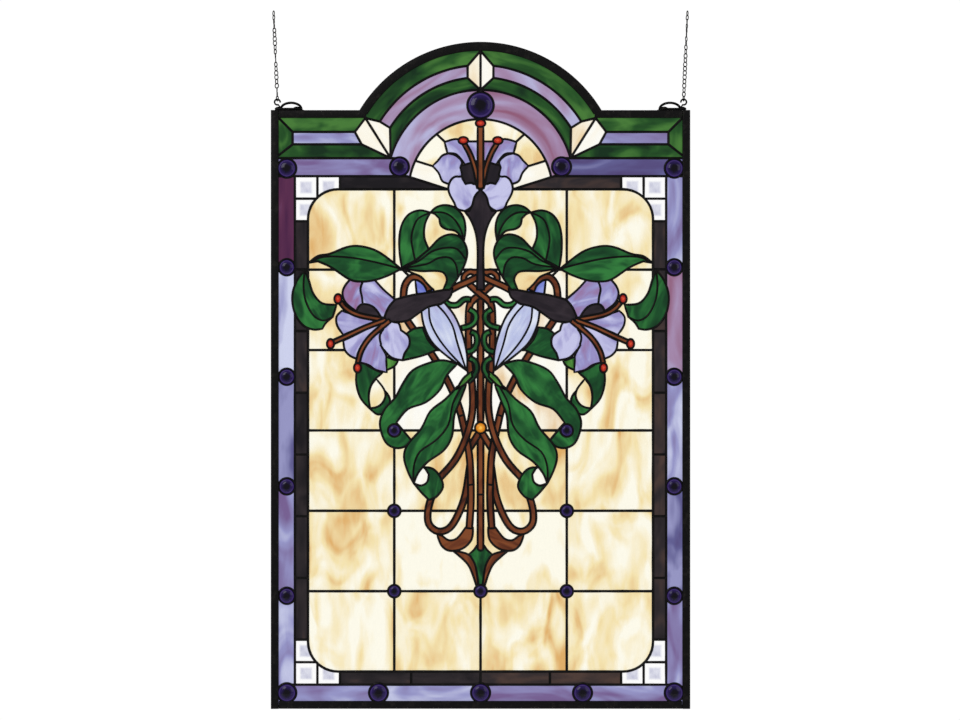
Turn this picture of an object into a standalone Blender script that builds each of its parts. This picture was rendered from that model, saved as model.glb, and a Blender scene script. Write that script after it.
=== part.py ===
"""Hanging stained glass window: glass, soldered seams, jewels, came frame, hooks and chains.

The panel lies in the XZ plane with its front to -Y. The origin is halfway between the top
links of the two chains, so the panel hangs below it.
"""
import bpy
import bmesh
from math import asin, ceil, cos, pi, radians, sin, sqrt
from mathutils import Matrix, Vector, geometry
from mathutils.bvhtree import BVHTree

MM = 0.001

# Outline of the panel
PANEL_WIDTH = 0.559
SHOULDER_HEIGHT = 0.798
ARCH_CENTRE_DROP = 0.0975
ARCH_RADIUS = 0.1885

# Came frame: a U channel with the glass in its groove
CAME_FACE = 0.0105
ARCH_CAME_FACE = 0.012
CAME_DEPTH = 0.008
EDGE_ROOM = 0.001
SEAM_END_ROOM = 0.0008

# Glass and seams
GLASS_THICKNESS = 0.003
GLASS_BITE = 0.005
SEAM_WIDTH = 0.0042
SEAM_RISE = 0.0013
CLEARANCE = 0.0003

# Border strips, from the frame inwards
LAVENDER_STRIP = 0.0215
DARK_STRIP = 0.0175
SHOULDER_GREEN = 0.0185
SHOULDER_LAVENDER = 0.0165
JEWEL_ROW = 0.024

# Rings of the arch and the fan inside them
ARCH_GREEN_OUTER = 0.019
ARCH_LAVENDER = 0.016
ARCH_GREEN_INNER = 0.017
ARCH_BAND = 0.0285
FAN_DROP = 0.0105
WEDGE_ROOM = 0.002
WEDGE_INNER = 0.043

# Keystones
KEYSTONE_HALF_WIDTH = 0.0172
SHOULDER_KEYSTONE_REACH = 0.014
SHOULDER_KEYSTONE_FOOT = 0.005
SHOULDER_KEYSTONE_ANGLE = radians(148.5)

# Field
FIELD_CORNER = 0.040
GRID_ROWS = 6

# Jewels, measured to the middle of the seam round them
TOP_JEWEL_RADIUS = 0.0175
TOP_JEWEL_GAP = 0.003
CORNER_JEWEL_RADIUS = 0.0125
CORNER_JEWEL_LIFT = 0.0105
SIDE_JEWEL_RADIUS = 0.0108
SIDE_JEWEL_FIRST = 0.1505
SIDE_JEWEL_PITCH = 0.146
SIDE_JEWELS = 4
BOTTOM_JEWEL_PITCH = 0.136
JEWEL_RISE = 0.0035
JEWEL_SHOULDER = 0.7

# Hooks and chains
HOOK_CURL_LIFT = 0.011
HOOK_CURL_START = radians(-110)
HOOK_WIRE = 0.0024
HOOK_CURL_RADIUS = 0.0046
HOOK_FROM_EDGE = 0.0085
HOOK_PAD_LENGTH = 0.032
HOOK_PAD_HEIGHT = 0.003
HOOK_PAD_DEPTH = 0.005
HOOK_ARCH_HEIGHT = 0.0095
LINKS = 21
LINK_PITCH = 0.0057
LINK_BITE = 0.0005
LINK_WIDTH = 0.0058
LINK_WIRE = 0.0012
CHAIN_TURN = radians(500)
CHAIN_SPREAD = 0.005

# The figures are drawn in millimetres on a cartoon of this size, from the field's bottom centre
CARTOON_WIDTH = 460
CARTOON_HEIGHT = 643
STEM_WIDTH = 7.6
STAMEN_WIDTH = 5.6
TENDRIL_WIDTH = 6.4
TIP_RADIUS = 5.6

# Fineness of the drawing
ARC_CHORD = 0.030
CUTTER_CHORD = 0.008
ARCH_STEPS = 24
HOOK_STEPS = 8
LINK_POINTS = 6
JEWEL_SIDES = 12
SMALL_JEWEL_SIDES = 6
STRAIGHTEN = 0.0008
SLIVER_AREA = 0.000015
SLIVER_WIDTH = 0.0015
WELD = 0.00002
FOLDED_BACK = 0.2
MITRE_LIMIT = 0.6
SHORTEST_PLANK = 0.0002

# Lines that follow from the sizes above
HALF_WIDTH = PANEL_WIDTH / 2
ARCH_CENTRE = SHOULDER_HEIGHT - ARCH_CENTRE_DROP
GLASS_SIDE = HALF_WIDTH - CAME_FACE
GLASS_BOTTOM = CAME_FACE
GLASS_SHOULDER = SHOULDER_HEIGHT - CAME_FACE
GLASS_ARCH = ARCH_RADIUS - ARCH_CAME_FACE
DARK_SIDE = GLASS_SIDE - LAVENDER_STRIP
DARK_BOTTOM = GLASS_BOTTOM + LAVENDER_STRIP
FIELD_SIDE = DARK_SIDE - DARK_STRIP
FIELD_BOTTOM = DARK_BOTTOM + DARK_STRIP
LAVENDER_TOP = GLASS_SHOULDER - SHOULDER_GREEN
LAVENDER_FOOT = LAVENDER_TOP - SHOULDER_LAVENDER
ROW_TOP = LAVENDER_FOOT - SHOULDER_GREEN
DARK_TOP = ROW_TOP - JEWEL_ROW
FIELD_TOP = DARK_TOP - DARK_STRIP
RING_LAVENDER = GLASS_ARCH - ARCH_GREEN_OUTER
RING_GREEN = RING_LAVENDER - ARCH_LAVENDER
RING_BAND = RING_GREEN - ARCH_GREEN_INNER
FAN_RADIUS = RING_BAND - ARCH_BAND
FAN_CENTRE = ARCH_CENTRE - FAN_DROP
WEDGE_OUTER = FAN_RADIUS + WEDGE_ROOM
RIM = GLASS_SIDE + GLASS_BITE
STRIP_MIDDLE = (GLASS_SIDE + DARK_SIDE) / 2
HOOK_SIDE = HALF_WIDTH - HOOK_FROM_EDGE
HOOK_CURL_HEIGHT = SHOULDER_HEIGHT + HOOK_CURL_LIFT
LINK_LENGTH = LINK_PITCH + 2 * LINK_WIRE - LINK_BITE
CHAIN_FOOT = HOOK_CURL_HEIGHT + HOOK_CURL_RADIUS - HOOK_WIRE - CLEARANCE - LINK_WIRE
HANG_HEIGHT = CHAIN_FOOT + LINK_LENGTH + (LINKS - 1) * LINK_PITCH

COLLECTION = "stained_glass_window"
CUTTERS = "cutters"

# Finishes: base colour, roughness, metallic, alpha
FINISHES = {
    "came_finish": ((0.020, 0.020, 0.022), 0.45, 0.8, 1.0),
    "solder_finish": ((0.012, 0.010, 0.010), 0.40, 0.8, 1.0),
    "wire_finish": ((0.020, 0.020, 0.020), 0.35, 0.9, 1.0),
    "green_glass": ((0.030, 0.160, 0.030), 0.15, 0.0, 0.90),
    "leaf_glass": ((0.010, 0.140, 0.030), 0.15, 0.0, 0.90),
    "lilac_glass": ((0.420, 0.300, 0.480), 0.15, 0.0, 0.90),
    "lily_glass": ((0.400, 0.380, 0.680), 0.15, 0.0, 0.90),
    "dark_glass": ((0.030, 0.022, 0.026), 0.15, 0.0, 0.95),
    "cream_glass": ((0.900, 0.800, 0.550), 0.15, 0.0, 0.85),
    "stem_glass": ((0.160, 0.050, 0.020), 0.15, 0.0, 0.90),
    "violet_jewel": ((0.030, 0.010, 0.120), 0.05, 0.0, 0.90),
}
SHEET_FINISHES = {
    "glass_arch": "green_glass",
    "glass_shoulder": "green_glass",
    "glass_keystone": "cream_glass",
    "glass_field": "cream_glass",
    "glass_fan": "cream_glass",
    "glass_dark": "dark_glass",
    "glass_upper_leaves": "leaf_glass",
    "glass_lower_leaves": "leaf_glass",
    "glass_stems": "stem_glass",
    "glass_side_lily": "lily_glass",
    "glass_top_lily": "lily_glass",
    "glass_bud": "lily_glass",
}


# Drawing in the plane of the panel, as points (x, height above the panel's foot)

def place(u, v):
    """Turn a point of the cartoon, in millimetres, into a point of the panel."""
    return Vector((u * 2 * FIELD_SIDE / CARTOON_WIDTH,
                   FIELD_BOTTOM + v * (FIELD_TOP - FIELD_BOTTOM) / CARTOON_HEIGHT))


def stroke(*points):
    """A line through points of the cartoon."""
    return [place(*p) for p in points]


def figure(*sides):
    """Close a figure from sides that each start at a corner."""
    loop = []
    for i, side in enumerate(sides):
        loop += stroke(*side, sides[(i + 1) % len(sides)][0])[:-1]
    return loop


def ribbon(width, *points):
    """The quads of a strip of even width along a line of the cartoon."""
    return strip(stroke(*points), width * MM / 2)


def strip(middle, half):
    """Quads along a line, mitred where it bends."""
    closed = (middle[0] - middle[-1]).length < WELD
    last = len(middle) - 1
    sides = []
    for i, here in enumerate(middle):
        before = middle[i - 1] if i else (middle[-2] if closed else here)
        after = middle[i + 1] if i < last else (middle[1] if closed else here)
        into, out = here - before, after - here
        into = into.normalized() if into.length > WELD else out.normalized()
        out = out.normalized() if out.length > WELD else into
        along = (into + out).normalized() if (into + out).length > FOLDED_BACK else into
        across = Vector((-along.y, along.x)) * half / max(MITRE_LIMIT, along.dot(out))
        sides.append((here + across, here - across))
    quads = [[a[0], b[0], b[1], a[1]] for a, b in zip(sides, sides[1:])]
    return [quad if is_convex(quad) else plank(a, b, half)
            for quad, a, b in zip(quads, middle, middle[1:]) if (b - a).length > SHORTEST_PLANK]


def is_convex(polygon):
    """Whether a polygon turns the same way at every corner."""
    turns = [(b - a).cross(c - b) for a, b, c in zip(polygon, polygon[1:] + polygon[:1],
                                                     polygon[2:] + polygon[:2])]
    return max(turns) < 0 or min(turns) > 0


def plank(start, end, half):
    """A rectangle along a straight run."""
    along = (end - start).normalized()
    across = Vector((-along.y, along.x)) * half
    return [start + across, end + across, end - across, start - across]


def arc(centre, radius, start, end, chord=ARC_CHORD):
    """Points along an arc, from one angle to the other."""
    count = max(2, ceil(abs(end - start) * radius / chord))
    turns = [start + (end - start) * i / count for i in range(count + 1)]
    return [Vector((centre[0] + radius * cos(a), centre[1] + radius * sin(a))) for a in turns]


def disc(centre, radius, sides, lean=0.0, stretch=1.0):
    """A regular polygon for a round or oval piece of glass."""
    spin = Matrix.Rotation(lean, 2)
    turns = [2 * pi * (i + 0.5) / sides for i in range(sides)]
    rim = [Vector((radius * cos(a), stretch * radius * sin(a))) for a in turns]
    return [Vector(centre) + spin @ p for p in rim]


def box(left, bottom, right, top):
    """A rectangle."""
    return [Vector(p) for p in ((left, bottom), (right, bottom), (right, top), (left, top))]


def mirrored(points):
    """The same points on the other side of the centre line."""
    return [Vector((-p[0], p[1])) for p in points]


def half_disc(centre_height, radius):
    """The upper left quarter of a disc on the centre line."""
    return [Vector((0, centre_height))] + arc((0, centre_height), radius, pi / 2, pi)


def half_outline(grow):
    """Left half of the glass's outline, its edge moved outwards into the frame's groove."""
    side, shoulder, radius = GLASS_SIDE + grow, GLASS_SHOULDER + grow, GLASS_ARCH + grow
    start = asin((shoulder - ARCH_CENTRE) / radius)
    base = [(0, GLASS_BOTTOM - grow), (-side, GLASS_BOTTOM - grow), (-side, shoulder)]
    return [Vector(p) for p in base] + arc((0, ARCH_CENTRE), radius, pi - start, pi / 2)


class Cartoon:
    """The drawing of the window: figures painted over one another."""

    def __init__(self):
        self.sheets = []
        self.polygons = []

    def paint(self, sheet, *polygons):
        """Lay a piece of glass over what is already there."""
        self.sheets.append(sheet)
        self.polygons += [(len(self.sheets) - 1, polygon) for polygon in polygons]

    def pair(self, sheet, *polygons, shared=False):
        """Lay a piece of glass on the left, and its mirror image on the right."""
        self.paint(sheet if shared else sheet + "_left", *polygons)
        self.paint(sheet if shared else sheet + "_right", *[mirrored(p) for p in polygons])

    def whole(self, sheet, *polygons):
        """Lay one piece of glass made of a left half and its mirror image."""
        self.paint(sheet, *polygons, *[mirrored(p) for p in polygons])


def jewel_seats():
    """Name, centre and seam radius of each jewel of the border on the left or in the middle."""
    arch_jewel = (RING_BAND + FAN_RADIUS) / 2
    arch_height = DARK_TOP + CORNER_JEWEL_RADIUS
    arch_side = sqrt(arch_jewel ** 2 - (arch_height - ARCH_CENTRE) ** 2)
    bottom = GLASS_BOTTOM + LAVENDER_STRIP / 2
    top = ARCH_CENTRE + RING_BAND - TOP_JEWEL_GAP - TOP_JEWEL_RADIUS
    seats = [("jewel_top", (0, top), TOP_JEWEL_RADIUS),
             ("jewel_bottom", (0, bottom), CORNER_JEWEL_RADIUS),
             ("jewel_arch", (-arch_side, arch_height), CORNER_JEWEL_RADIUS),
             ("jewel_upper_corner", (-STRIP_MIDDLE, DARK_TOP + CORNER_JEWEL_LIFT), CORNER_JEWEL_RADIUS),
             ("jewel_lower_corner", (-STRIP_MIDDLE, bottom), CORNER_JEWEL_RADIUS),
             ("jewel_bottom_side", (-BOTTOM_JEWEL_PITCH, bottom), CORNER_JEWEL_RADIUS)]
    for i in range(SIDE_JEWELS):
        height = SIDE_JEWEL_FIRST + i * SIDE_JEWEL_PITCH
        seats.append((f"jewel_side_{i + 1}", (-STRIP_MIDDLE, height), SIDE_JEWEL_RADIUS))
    return seats


def draw_arch(cartoon):
    """The glass of the arch's rings, the wide band, the fan and the top keystone."""
    cartoon.pair("glass_arch", half_outline(GLASS_BITE))
    cartoon.pair("glass_band", half_disc(ARCH_CENTRE, RING_BAND))
    cartoon.pair("glass_fan", half_disc(FAN_CENTRE, FAN_RADIUS), shared=True)
    tip, foot = Vector((0, ARCH_CENTRE + GLASS_ARCH)), Vector((0, ARCH_CENTRE + RING_BAND))
    corners = [Vector((-KEYSTONE_HALF_WIDTH, ARCH_CENTRE + sqrt(ring ** 2 - KEYSTONE_HALF_WIDTH ** 2)))
               for ring in (RING_LAVENDER, RING_GREEN)]
    cartoon.whole("glass_keystone_top", [tip, *corners, foot])


def draw_shoulders(cartoon):
    """The shoulder's glass, its keystone, and the jewelled row under it."""
    tip_side = sqrt(GLASS_ARCH ** 2 - (GLASS_SHOULDER - ARCH_CENTRE) ** 2)
    foot_side = sqrt(RING_BAND ** 2 - (ROW_TOP - ARCH_CENTRE) ** 2)
    tip, foot = Vector((-tip_side, GLASS_SHOULDER)), Vector((-foot_side, ROW_TOP))
    rim_top = GLASS_SHOULDER + GLASS_BITE
    shoulder = [(-RIM, ROW_TOP), (-RIM, rim_top), (tip.x, rim_top), tip, foot]
    cartoon.pair("glass_shoulder", [Vector(p) for p in shoulder])
    left = [Vector((tip.x - SHOULDER_KEYSTONE_REACH, LAVENDER_TOP)),
            Vector((tip.x - SHOULDER_KEYSTONE_FOOT, LAVENDER_FOOT))]
    turn = Vector((cos(SHOULDER_KEYSTONE_ANGLE), sin(SHOULDER_KEYSTONE_ANGLE)))
    right = [Vector((0, ARCH_CENTRE)) + ring * turn for ring in (RING_GREEN, RING_LAVENDER)]
    cartoon.pair("glass_keystone", [tip, *left, foot, *right])
    arch_jewel = jewel_seats()[2][1][0]
    cartoon.pair("glass_top_border", box(-RIM, DARK_TOP, arch_jewel, ROW_TOP))


def draw_sides(cartoon):
    """The lavender strips down the sides and along the bottom, and the dark strips inside them."""
    rim = GLASS_BOTTOM - GLASS_BITE
    lavender = [(-RIM, rim), (0, rim), (0, DARK_BOTTOM), (-DARK_SIDE, DARK_BOTTOM), (-DARK_SIDE, DARK_TOP),
                (-RIM, DARK_TOP)]
    cartoon.pair("glass_side_border", [Vector(p) for p in lavender])
    dark = [(0, DARK_BOTTOM), (0, FIELD_TOP), (-WEDGE_INNER, FIELD_TOP), (-WEDGE_OUTER, DARK_TOP),
            (-DARK_SIDE, DARK_TOP), (-DARK_SIDE, DARK_BOTTOM)]
    cartoon.pair("glass_dark_strips", [Vector(p) for p in dark], shared=True)


def draw_field(cartoon):
    """Cream glass of the field with its round corners, parted at three lines of the grid."""
    row = (FIELD_TOP - FIELD_BOTTOM) / GRID_ROWS
    inner = -FIELD_SIDE + FIELD_CORNER
    low_corner = arc((inner, FIELD_BOTTOM + FIELD_CORNER), FIELD_CORNER, 1.5 * pi, pi)
    top_corner = arc((inner, FIELD_TOP - FIELD_CORNER), FIELD_CORNER, pi, pi / 2)
    parts = (("glass_field_low", 0, GRID_ROWS // 3), ("glass_field_middle", GRID_ROWS // 3, GRID_ROWS - 1),
             ("glass_field_top", GRID_ROWS - 1, GRID_ROWS))
    for sheet, first, last in parts:
        low, high = FIELD_BOTTOM + first * row, FIELD_BOTTOM + last * row
        left = low_corner if first == 0 else [Vector((-FIELD_SIDE, low))]
        left = left + (top_corner if last == GRID_ROWS else [Vector((-FIELD_SIDE, high))])
        cartoon.pair(sheet, [Vector((0, low)), *left, Vector((0, high))])


def draw_stems(cartoon):
    """Brown stems that cross, loop and meet in a foot, with green tendrils round them."""
    sheet = "glass_stems"
    cartoon.whole(sheet, figure([(0, 162)], [(-9, 162), (-17, 156)], [(-8, 143), (-3, 113)], [(0, 113)]))
    cartoon.pair(sheet, figure([(-41, 162), (-25, 157), (-11, 145), (-2, 116)], [(-6, 114), (-19, 138)]),
                 shared=True)
    cartoon.paint(sheet, *ribbon(STEM_WIDTH, (0, 503), (0, 333)))
    cartoon.paint(sheet, *ribbon(STEM_WIDTH, (0, 322), (0, 200), (0, 162)))
    cartoon.pair(sheet, *ribbon(STEM_WIDTH, (-1, 320), (-15, 297)), shared=True)
    cartoon.pair(sheet, *ribbon(STEM_WIDTH, (-65, 234), (-70, 215), (-69, 197), (-57, 187), (-42, 191),
                                (-30, 209), (-21, 237), (-15, 269)), shared=True)
    cartoon.pair(sheet, *ribbon(STEM_WIDTH, (-102, 475), (-90, 457), (-67, 426), (-49, 397), (-31, 359),
                                (-22, 325), (-14, 289), (-11, 253), (-11, 218), (-16, 190), (-29, 175),
                                (-42, 171), (-55, 182)), shared=True)
    cartoon.pair(sheet, *ribbon(STEM_WIDTH, (16, 517), (0, 503), (-9, 496), (-15, 486), (-16, 455),
                                (-15, 413), (-11, 381), (-11, 346), (-19, 313), (-34, 282), (-55, 258)),
                 shared=True)
    cartoon.pair(sheet, *ribbon(TENDRIL_WIDTH, (-22, 517), (-22, 527), (-15, 533), (-7, 531), (-1, 524)),
                 shared=True)
    cartoon.pair(sheet, *ribbon(STEM_WIDTH, (-43, 507), (-30, 514), (-14, 521), (0, 528)), shared=True)


def draw_lower_leaves(cartoon):
    """The leaves that hang below the side lilies, with their curled ends."""
    sheet = "glass_lower_leaves"
    cartoon.pair(sheet, figure([(-104, 415), (-101, 425), (-95, 437)], [(-98, 451), (-89, 457)],
                               [(-77, 459), (-70, 442)], [(-58, 429), (-78, 421)]))
    cartoon.pair(sheet, figure([(-162, 418), (-149, 407)], [(-131, 398), (-143, 387), (-149, 371)],
                               [(-147, 350), (-160, 365), (-166, 389)]))
    cartoon.pair(sheet, figure([(-128, 376), (-121, 362)], [(-129, 343)],
                               [(-147, 350), (-134, 354), (-127, 366)]))
    cartoon.pair(sheet, figure([(-31, 410), (-49, 415), (-67, 412), (-90, 402), (-103, 385), (-114, 365),
                                (-127, 351), (-133, 333), (-127, 313)],
                               [(-110, 297), (-99, 300)],
                               [(-91, 308)],
                               [(-112, 332), (-97, 350), (-73, 359), (-54, 376), (-45, 395)]))
    cartoon.pair(sheet, figure([(-75, 273), (-63, 270), (-54, 260), (-50, 246), (-59, 233)],
                               [(-69, 229), (-79, 239)],
                               [(-89, 251), (-79, 248), (-71, 253)],
                               [(-69, 263)]))
    cartoon.pair(sheet, figure([(-31, 380), (-47, 363), (-67, 347), (-79, 324), (-97, 303), (-102, 286),
                                (-97, 267)],
                               [(-89, 251), (-83, 265), (-70, 280), (-49, 295), (-38, 314), (-35, 341),
                                (-27, 362)],
                               [(-19, 382)]))
    cartoon.pair(sheet, figure([(-32, 376), (-23, 391)], [(-12, 400)], [(-11, 393), (-21, 383)]))


def draw_buds(cartoon):
    """A closed bud with three petals, hanging from each side lily's calyx."""
    cartoon.pair("glass_bud", figure([(-79, 483), (-76, 463), (-66, 441), (-49, 424)],
                                     [(-18, 401), (-18, 422), (-24, 449), (-35, 475)],
                                     [(-51, 495)]))


def draw_side_lilies(cartoon):
    """Open lilies to the left and the right: petals, throat, calyx and stamens."""
    sheet = "glass_side_lily"
    cartoon.pair("glass_stems", *ribbon(STEM_WIDTH, (-103, 497), (-101, 514), (-93, 525), (-81, 525),
                                        (-71, 517), (-59, 506)), shared=True)
    for sides in (
            ([(-171, 526), (-181, 514), (-184, 503), (-179, 491)], [(-165, 480), (-163, 486)],
             [(-158, 493), (-159, 506), (-158, 515)], [(-153, 525)]),
            ([(-155, 525), (-160, 511), (-158, 499)], [(-157, 489), (-145, 488), (-137, 480)],
             [(-130, 468), (-123, 485)], [(-114, 496), (-129, 509)], [(-141, 522)]),
            ([(-166, 479), (-159, 489), (-146, 489), (-137, 481)], [(-130, 468)]),
            ([(-185, 481), (-192, 473), (-191, 461)], [(-183, 449)], [(-134, 469)], [(-163, 474)]),
            ([(-183, 441), (-181, 429), (-174, 421)], [(-165, 417)], [(-131, 467)]),
            ([(-159, 415)], [(-134, 454)], [(-133, 435), (-125, 419)],
             [(-125, 399), (-139, 402), (-150, 409)]),
            ([(-123, 464), (-110, 465)], [(-106, 455), (-96, 447), (-95, 435), (-102, 423)],
             [(-104, 415), (-119, 419), (-131, 433), (-134, 449)]),
            ([(-126, 468), (-123, 483)], [(-114, 496), (-91, 502), (-65, 506)], [(-37, 511), (-41, 499)],
             [(-53, 490), (-70, 486), (-85, 476), (-97, 468), (-113, 466)])):
        cartoon.pair(sheet, figure(*sides))
    cartoon.pair("glass_lower_leaves", figure([(-126, 420), (-119, 417)], [(-110, 414), (-115, 407)],
                                              [(-125, 402)]))
    for points, tip in ((((-187, 493), (-178, 483), (-161, 475), (-129, 469)), (-190, 497)),
                        (((-197, 439), (-179, 447), (-153, 459), (-126, 469)), (-200, 437)),
                        (((-164, 410), (-159, 428), (-146, 447), (-121, 468)), (-164, 405))):
        cartoon.pair(sheet, *ribbon(STAMEN_WIDTH, *points))
        cartoon.pair(sheet, disc(place(*tip), TIP_RADIUS * MM, SMALL_JEWEL_SIDES, stretch=1.3))


def draw_upper_leaves(cartoon):
    """The long side leaf, the crescent over the border, and the three leaves round an eye."""
    sheet = "glass_upper_leaves"
    cartoon.pair(sheet, figure([(-67, 612), (-81, 615), (-95, 610), (-104, 598), (-108, 581), (-108, 559)],
                               [(-105, 539)],
                               [(-87, 548)],
                               [(-69, 563), (-75, 579), (-74, 597)]))
    cartoon.pair(sheet, figure([(-106, 538), (-87, 548), (-69, 563), (-54, 578), (-38, 583), (-25, 577),
                                (-18, 562), (-20, 546), (-29, 527)],
                               [(-41, 509)],
                               [(-50, 509), (-45, 521), (-47, 530), (-57, 534), (-81, 534)]))
    cartoon.pair(sheet, figure([(-67, 612), (-59, 619), (-47, 622), (-33, 618), (-23, 606), (-20, 590)],
                               [(-22, 575), (-33, 587), (-46, 590), (-53, 595)],
                               [(-55, 604), (-61, 610)]))
    cartoon.pair(sheet, figure([(-229, 545), (-217, 554), (-201, 557), (-178, 566), (-159, 567), (-135, 559)],
                               [(-106, 537), (-121, 529), (-141, 522), (-159, 520), (-175, 523), (-199, 539)],
                               [(-217, 547)]))
    cartoon.pair(sheet, figure([(-234, 536), (-245, 521), (-251, 501), (-248, 479), (-237, 462),
                                            (-223, 456)],
                                           [(-211, 457), (-206, 465)],
                                           [(-197, 473)],
                                           [(-192, 489), (-211, 491), (-223, 504), (-229, 522)]))


def draw_top_lily(cartoon):
    """The lily in the fan: petals in pairs, the throat, the calyx and three stamens."""
    sheet = "glass_top_lily"
    cartoon.whole(sheet, figure([(0, 707), (-17, 707), (-33, 710)], [(-48, 706)],
                                [(-44, 691), (-33, 690), (-25, 682)], [(-21, 676), (-9, 678)], [(0, 648)]))
    cartoon.whole(sheet, figure([(0, 682), (-21, 676)], [(-28, 674)], [(-25, 661)], [(-23, 654), (-20, 650)],
                                [(-7, 650)], [(0, 642)]))
    cartoon.pair(sheet, figure([(-64, 674), (-57, 681), (-51, 688)], [(-43, 691), (-33, 688), (-25, 680)],
                               [(-27, 672), (-25, 661)], [(-34, 660), (-39, 656)],
                               [(-42, 650), (-51, 654), (-56, 665)]), shared=True)
    cartoon.whole(sheet, figure([(0, 644), (-8, 633), (-12, 621)], [(-15, 614)],
                                [(-22, 614), (-14, 604), (-7, 587), (-4, 567), (-4, 538)], [(-5, 509)],
                                [(0, 509)]))
    cartoon.pair(sheet, figure([(-42, 650), (-39, 656), (-33, 660), (-25, 658)], [(-20, 650), (-11, 651)],
                               [(-1, 642), (-8, 633), (-12, 620)], [(-21, 614), (-31, 617)],
                               [(-35, 625), (-41, 636), (-43, 644)]), shared=True)
    cartoon.pair(sheet, *ribbon(STAMEN_WIDTH, (-22, 704), (-14, 690), (-7, 670), (-2, 645)), shared=True)
    cartoon.paint(sheet, *ribbon(STEM_WIDTH, (0, 727), (0, 645)))
    cartoon.pair(sheet, disc(place(-23, 708), TIP_RADIUS * MM, SMALL_JEWEL_SIDES, stretch=0.8), shared=True)
    cartoon.paint(sheet, disc(place(0, 731), TIP_RADIUS * MM, SMALL_JEWEL_SIDES, stretch=0.8))


def draw_jewels(cartoon):
    """Seats of the border's jewels."""
    for name, centre, radius in jewel_seats():
        if centre[0] == 0:
            cartoon.paint(name, disc(centre, radius, JEWEL_SIDES))
        else:
            cartoon.pair(name, disc(centre, radius, JEWEL_SIDES))


def draw_window():
    """The whole cartoon, from the frame inwards and from the back to the front."""
    cartoon = Cartoon()
    for draw in (draw_arch, draw_shoulders, draw_sides, draw_field, draw_stems, draw_buds,
                 draw_lower_leaves, draw_side_lilies, draw_upper_leaves, draw_top_lily, draw_jewels):
        draw(cartoon)
    return cartoon


# From the drawing to seams and sheets of glass

def counter_clockwise(polygon):
    """The corners of a polygon in the order that the cutter wants."""
    turn = sum(a.cross(b) for a, b in zip(polygon, polygon[1:] + polygon[:1]))
    return polygon if turn > 0 else polygon[::-1]


def cut_plane(ranked, lines=()):
    """Cut the plane along all outlines and lines.

    Gives the points, the triangles, the highest rank that covers each triangle, and the edges
    that lie on a line.
    """
    points, edges, faces = [], [], []
    for line in lines:
        first = len(points)
        points += line
        edges += [(i, i + 1) for i in range(first, len(points) - 1)]
    for _, polygon in ranked:
        faces.append(list(range(len(points), len(points) + len(polygon))))
        points += counter_clockwise(polygon)
    found = geometry.delaunay_2d_cdt(points, edges, faces, 1, WELD)
    points, new_edges, triangles, _, sources, covers = found
    top = [max((ranked[i][0] for i in cover), default=-1) for cover in covers]
    walls = {frozenset(edge) for edge, source in zip(new_edges, sources)
             if any(i < len(edges) for i in source)}
    return points, triangles, top, walls


def edge_sides(triangles):
    """The triangles on the two sides of each edge."""
    sides = {}
    for index, corners in enumerate(triangles):
        for i, corner in enumerate(corners):
            sides.setdefault(frozenset((corner, corners[i - 1])), []).append(index)
    return sides


def patches(count, sides, is_border):
    """Number the patches of triangles that no border edge separates."""
    neighbours = [[] for _ in range(count)]
    for edge, pair in sides.items():
        if len(pair) == 2 and not is_border(edge, pair):
            neighbours[pair[0]].append(pair[1])
            neighbours[pair[1]].append(pair[0])
    number = [-1] * count
    total = 0
    for start in range(count):
        if number[start] < 0:
            number[start] = total
            queue = [start]
            while queue:
                for other in neighbours[queue.pop()]:
                    if number[other] < 0:
                        number[other] = total
                        queue.append(other)
            total += 1
    return number, total


def join_tiles(size, wanted, shared):
    """The sheet that each tile is fused to.

    Tiles of one sheet that touch belong together. The largest such group keeps the sheet's
    name, and every other tile goes to the sheet it shares the longest seam with.
    """
    group = {t: t for t in size}

    def head(t):
        while group[t] != t:
            t = group[t]
        return t

    for a, b in shared:
        if wanted[a] == wanted[b]:
            group[head(a)] = head(b)
    joined = {}
    for t in size:
        joined[head(t)] = joined.get(head(t), 0) + size[t]
    best = {}
    for root in joined:
        if joined[root] > joined.get(best.get(wanted[root]), 0):
            best[wanted[root]] = root
    sheet = {t: wanted[t] for t in size if best[wanted[t]] == head(t)}
    while len(sheet) < len(size):
        offers = {}
        for (a, b), length in shared.items():
            for one, other in ((a, b), (b, a)):
                if one not in sheet and not sheet.get(other, "jewel").startswith("jewel"):
                    found = offers.setdefault(one, {})
                    found[sheet[other]] = found.get(sheet[other], 0) + length
        sheet.update({t: max(found, key=found.get) for t, found in offers.items()})
    return sheet


def chain_edges(kinds):
    """Join edges of one kind into long lines that end where lines meet or the kind changes."""
    at = {}
    for edge in kinds:
        for i in edge:
            at.setdefault(i, []).append(edge)
    ends = {i for i, found in at.items() if len(found) != 2 or kinds[found[0]] != kinds[found[1]]}
    left = set(kinds)
    lines = []
    for start in sorted(ends) + sorted(at):
        for first in at[start]:
            path, step = [start], first
            while step in left:
                left.discard(step)
                path.append(next(i for i in step if i != path[-1]))
                if path[-1] not in ends:
                    step = next((e for e in at[path[-1]] if e in left), None)
            if len(path) > 1:
                lines.append((kinds[first], path))
    return lines


def straighten(line, tolerance):
    """Leave out points that lie within the tolerance of a straight run."""
    if len(line) < 3:
        return line
    first, last = line[0], line[-1]
    run = last - first
    if run.length < WELD:
        gaps = [(p - first).length for p in line]
    else:
        gaps = [abs((p - first).cross(run)) / run.length for p in line]
    worst = max(range(len(line)), key=gaps.__getitem__)
    if gaps[worst] < tolerance:
        return [first, last]
    return straighten(line[:worst + 1], tolerance)[:-1] + straighten(line[worst:], tolerance)


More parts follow.
